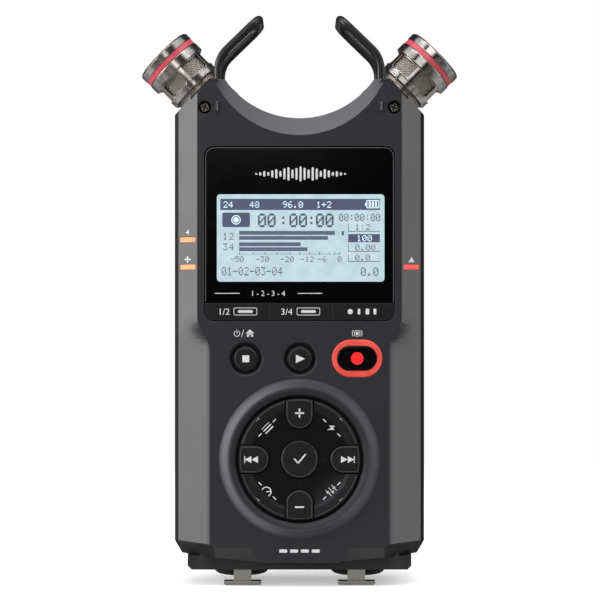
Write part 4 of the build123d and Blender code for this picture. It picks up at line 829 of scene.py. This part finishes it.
def quadrant_sign(name, side, rise, icon):
    """Icon between two dashes, turned to follow the dial, and two dots further out."""
    key = name + "_key"
    cx, cz = side * 8.95, DIAL_Z + rise * 8.75
    dashes = stroke([(-3.3, 0.0), (-2.3, 0.0)], 0.28) + stroke([(2.3, 0.0), (3.3, 0.0)], 0.28)
    loops = turn(shift(icon + dashes, cx, cz), cx, cz, 45 if side * rise < 0 else -45)
    key_mark(name + "_sign", loops, FACE_Y - 0.012, key)
    pair = [disc(side * 11.35, DIAL_Z + rise * 11.25, 0.16, 12),
            disc(side * 11.8, DIAL_Z + rise * 10.8, 0.1, 10)]
    key_mark(name + "_sign_dot", pair, -16.97, key, thick=0.06)


menu = [round_rect(-1.5, z - 0.17, 1.5, z + 0.17, 0.15, 3) for z in (-0.85, 0.0, 0.85)]
bolt = [[(0.5, 1.35), (-0.95, -0.15), (-0.05, -0.15)], [(0.05, 0.2), (-0.5, -1.35), (0.95, 0.2)]]
gauge = arc_band(0, -0.35, 1.15, 1.45, -20, 200, 18) + stroke([(0, -0.35), (0.65, 0.45)], 0.26)
faders = []
for x, z in ((-1.05, 0.45), (0.0, -0.4), (1.05, 0.2)):
    faders += [rect(x - 0.1, -1.25, x + 0.1, 1.25), rect(x - 0.38, z - 0.22, x + 0.38, z + 0.22)]
quadrant_sign("menu", -1, 1, menu)
quadrant_sign("quick", 1, 1, bolt)
quadrant_sign("playback", -1, -1, gauge)
quadrant_sign("mixer", 1, -1, faders)

# ------------------------------------------------------------------ other housing marks
# Chin mark: four plain bars, one per recorded track
bars = [round_rect(-5.6 + 3.0 * k, 11.1, -3.4 + 3.0 * k, 12.0, 0.2, 4) for k in range(4)]
add_mark("chin_mark", bars, FACE_Y - 0.012, INK, "housing")

# Index ribs by the shoulder screws: painted highlight on the crest and painted shadow beside it
for side, sign in SIDES:
    x = sign * 22.8
    add_mark("rib_highlight_" + side, [rect(x - 0.12, 133.8, x + 0.12, 136.1)],
             FACE_Y - 0.512, INK_HIGHLIGHT, "housing", thick=0.03)
    add_mark("rib_shade_" + side, [rect(x + 0.48, 133.0, x + 0.78, 135.9)],
             FACE_Y - 0.012, INK_DARK, "housing")

# The side bevels slope back from the front panel.
BEVEL_START = 28.4
BEVEL_RUN, BEVEL_FALL = 5.2, 4.8
BEVEL_SLANT = math.hypot(BEVEL_RUN, BEVEL_FALL)


def bevel_marks(name, loops, side):
    """Marks laid on the bevel of one side."""
    def lifted(lift):
        def point(x, z):
            y = FACE_Y + BEVEL_FALL * (abs(x) - BEVEL_START) / BEVEL_RUN
            out = abs(x) + BEVEL_FALL / BEVEL_SLANT * lift
            return place(side * out, y - BEVEL_RUN / BEVEL_SLANT * lift, z)
        return point
    add_slabs(name, loops, lifted(0.03), lifted(-0.02), INK, "housing")


# Digit 4 and a plus sign on the left, a small triangle on the right
bevel_marks("lamp_marks_left", font_loops("4", -31.2, 100.1, height=1.5) + [
    rect(-32.1, 92.35, -30.3, 92.7), rect(-31.38, 91.6, -31.02, 93.4)], -1)
bevel_marks("lamp_mark_right", [[(30.3, 91.7), (32.1, 91.7), (31.2, 93.3)]], 1)


# ------------------------------------------------------------------ woven wire in the microphones
def add_wire(verts, faces, points, radius, sides=4):
    start, n = len(verts), len(points)
    for i, point in enumerate(points):
        along = (points[min(i + 1, n - 1)] - points[max(i - 1, 0)]).normalized()
        helper = Vector((0.3, 0.9, 0.2)) if abs(along.y) < 0.8 else Vector((0.9, 0.1, 0.3))
        u = along.cross(helper).normalized()
        v = along.cross(u)
        for s in range(sides):
            a = 2 * math.pi * s / sides
            verts.append(point + (u * math.cos(a) + v * math.sin(a)) * radius)
    for i in range(n - 1):
        near, far = start + i * sides, start + (i + 1) * sides
        for s in range(sides):
            t = (s + 1) % sides
            faces.append((near + s, near + t, far + t, far + s))


# Distances along the microphone's axis are counted from its pivot in the shoulder.
PIVOT_X, PIVOT_Z = 22.85, 135.05
SLEEVE_COUNT = 46               # wires of each hand
SLEEVE_START, SLEEVE_END = 11.3, 15.9
SLEEVE_RADIUS = 7.42
SLEEVE_TWIST = 0.62             # radians from end to end
GRILLE_AT = 21.72
GRILLE_PITCH = 0.56
GRILLE_RADIUS = 6.7
WAVER = 0.05                    # how far a wire weaves to each side


def weave(name, sign, body):
    axis = Vector((sign, 0, 1)).normalized()
    base = Vector((sign * PIVOT_X, 0, PIVOT_Z + DATUM))
    u = Vector((0, 1, 0))
    v = axis.cross(u)
    verts, faces = [], []
    # Sleeve: two crossing sets of helical wires
    for hand in (1, -1):
        for k in range(SLEEVE_COUNT):
            points = []
            for i in range(9):
                t = i / 8
                a = 2 * math.pi * (k / SLEEVE_COUNT) + hand * SLEEVE_TWIST * t
                radius = SLEEVE_RADIUS + WAVER * (1 if (i + k) % 2 else -1) * hand
                along = SLEEVE_START + (SLEEVE_END - SLEEVE_START) * t
                around = (u * math.cos(a) + v * math.sin(a)) * radius
                points.append((base + axis * along + around) * MM)
            add_wire(verts, faces, points, 0.085 * MM)
    # Round grille across the axis at the outer end
    reach = int(GRILLE_RADIUS / GRILLE_PITCH)
    for hand in (0, 1):
        for k in range(-reach, reach + 1):
            offset = k * GRILLE_PITCH
            half = math.sqrt(GRILLE_RADIUS ** 2 - offset ** 2)
            points = []
            for i in range(13):
                run = -half + 2 * half * i / 12
                along = GRILLE_AT + WAVER * (1 if (i + k + hand) % 2 else -1)
                a, b = (offset, run) if hand else (run, offset)
                points.append((base + axis * along + u * a + v * b) * MM)
            add_wire(verts, faces, points, 0.09 * MM)
    add_piece(name, verts, faces, M["mesh_metal"], body, smooth=True)


for side, sign in SIDES:
    weave("mic_weave_" + side, sign, "mic_" + side)

# ------------------------------------------------------------------ stage (metres)
scene = bpy.context.scene


def floor_material():
    """White to the camera; darker to other rays, with a bright card front left and right."""
    material, g, principled = shader("floor_finish")
    coord = g.coords()
    distance = g.node("VectorMath", {0: coord}, operation="LENGTH").outputs["Value"]
    seen = g.node("LightPath").outputs["Is Camera Ray"]
    x, y, _ = g.split(coord)
    across = g.math("ABSOLUTE", x)
    card = g.times(
        g.times(g.ramp(across, 0.11, 0.14), g.ramp(across, 0.26, 0.22)),
        g.times(g.ramp(y, -0.42, -0.48), g.ramp(y, -0.95, -0.85)))
    unseen = g.math("ADD", g.times(card, 1.6), 0.16)
    strength = g.math("ADD", g.times(seen, 1.0), g.times(g.invert(seen), unseen))
    emission = g.node("Emission", {0: (1, 1, 1, 1), 1: strength})
    g.fill(principled, {
        "Roughness": 0.75,
        "Base Color": g.mix(seen, (0.32, 0.32, 0.32, 1), (0.86, 0.86, 0.86, 1)),
        "Emission Color": (1, 1, 1, 1),
        "Emission Strength": g.ramp(seen, 0.0, 1.0, low=0.1, high=0.42),
    })
    blend = g.node("MixShader", {
        0: g.ramp(distance, 0.12, 0.45),
        1: principled.outputs[0],
        2: emission.outputs[0],
    })
    g.feed(g.output.inputs[0], blend.outputs[0])
    return material


FLOOR_RADIUS, FLOOR_SIDES = 3.0, 96
rim = [(*polar(0, 0, FLOOR_RADIUS, 360 * i / FLOOR_SIDES), -0.0002) for i in range(FLOOR_SIDES)]
floor_mesh = bpy.data.meshes.new("floor")
floor_mesh.from_pydata(rim, [], [tuple(range(FLOOR_SIDES))])
floor = bpy.data.objects.new("floor", floor_mesh)
floor_mesh.materials.append(floor_material())
scene.collection.objects.link(floor)


def build_world():
    """White to the camera; to other rays, dim with a soft white card up on either side."""
    world = bpy.data.worlds.new("studio")
    scene.world = world
    world.use_nodes = True
    g = Graph(world.node_tree, "OutputWorld")
    x, y, z = g.split(g.coords("Generated"))
    cards = []
    for sign in (1, -1):
        # How far a ray leans up and to one side
        lean = g.math("ADD", g.times(x, 0.7071 * sign), g.times(z, 0.7071))
        card = g.ramp(lean, 0.7, 0.84, high=1.35)
        cards.append(g.times(card, g.ramp(y, 0.4, -0.15)))
    level = g.math("ADD", g.math("ADD", *cards), 0.05)
    light = g.node("Background", {0: (0.95, 0.96, 1.0, 1), 1: level})
    seen = g.node("Background", {0: (1, 1, 1, 1)})
    is_camera = g.node("LightPath").outputs["Is Camera Ray"]
    blend = g.node("MixShader", {0: is_camera, 1: light.outputs[0], 2: seen.outputs[0]})
    g.feed(g.output.inputs[0], blend.outputs[0])


build_world()

LIGHT_TARGET = Vector((0, 0, 0.08))


def softbox(name, location, width, height, power):
    light = bpy.data.lights.new(name, "AREA")
    light.shape = "RECTANGLE"
    light.size, light.size_y = width, height
    light.energy = power
    box = bpy.data.objects.new(name, light)
    scene.collection.objects.link(box)
    box.location = location
    box.rotation_mode = "QUATERNION"
    box.rotation_quaternion = (LIGHT_TARGET - Vector(location)).to_track_quat("-Z", "Y")
    return box


softbox("left_box", (-0.75, -0.18, 0.16), width=0.5, height=0.7, power=7.2)
softbox("right_box", (0.8, -0.2, 0.14), width=0.3, height=0.7, power=1.65)
softbox("top_box", (0.0, -0.3, 0.85), width=0.6, height=0.4, power=4.0)
softbox("front_fill", (-0.25, -1.1, 0.5), width=0.6, height=0.6, power=2.0)
back_fill = softbox("back_fill", (0.3, 1.0, 0.6), width=0.8, height=0.6, power=8.0)
back_fill.visible_glossy = False

camera_data = bpy.data.cameras.new("camera")
camera = bpy.data.objects.new("camera", camera_data)
scene.collection.objects.link(camera)
camera_data.sensor_width = 36
camera_data.lens = 119.75
camera_data.clip_start = 0.01
camera.location = (0.00014, -0.57, 0.0812 + DATUM * MM)
camera.rotation_euler = (math.radians(90), 0, 0)
scene.camera = camera
scene.view_settings.view_transform = "Standard"
scene.view_settings.look = "None"
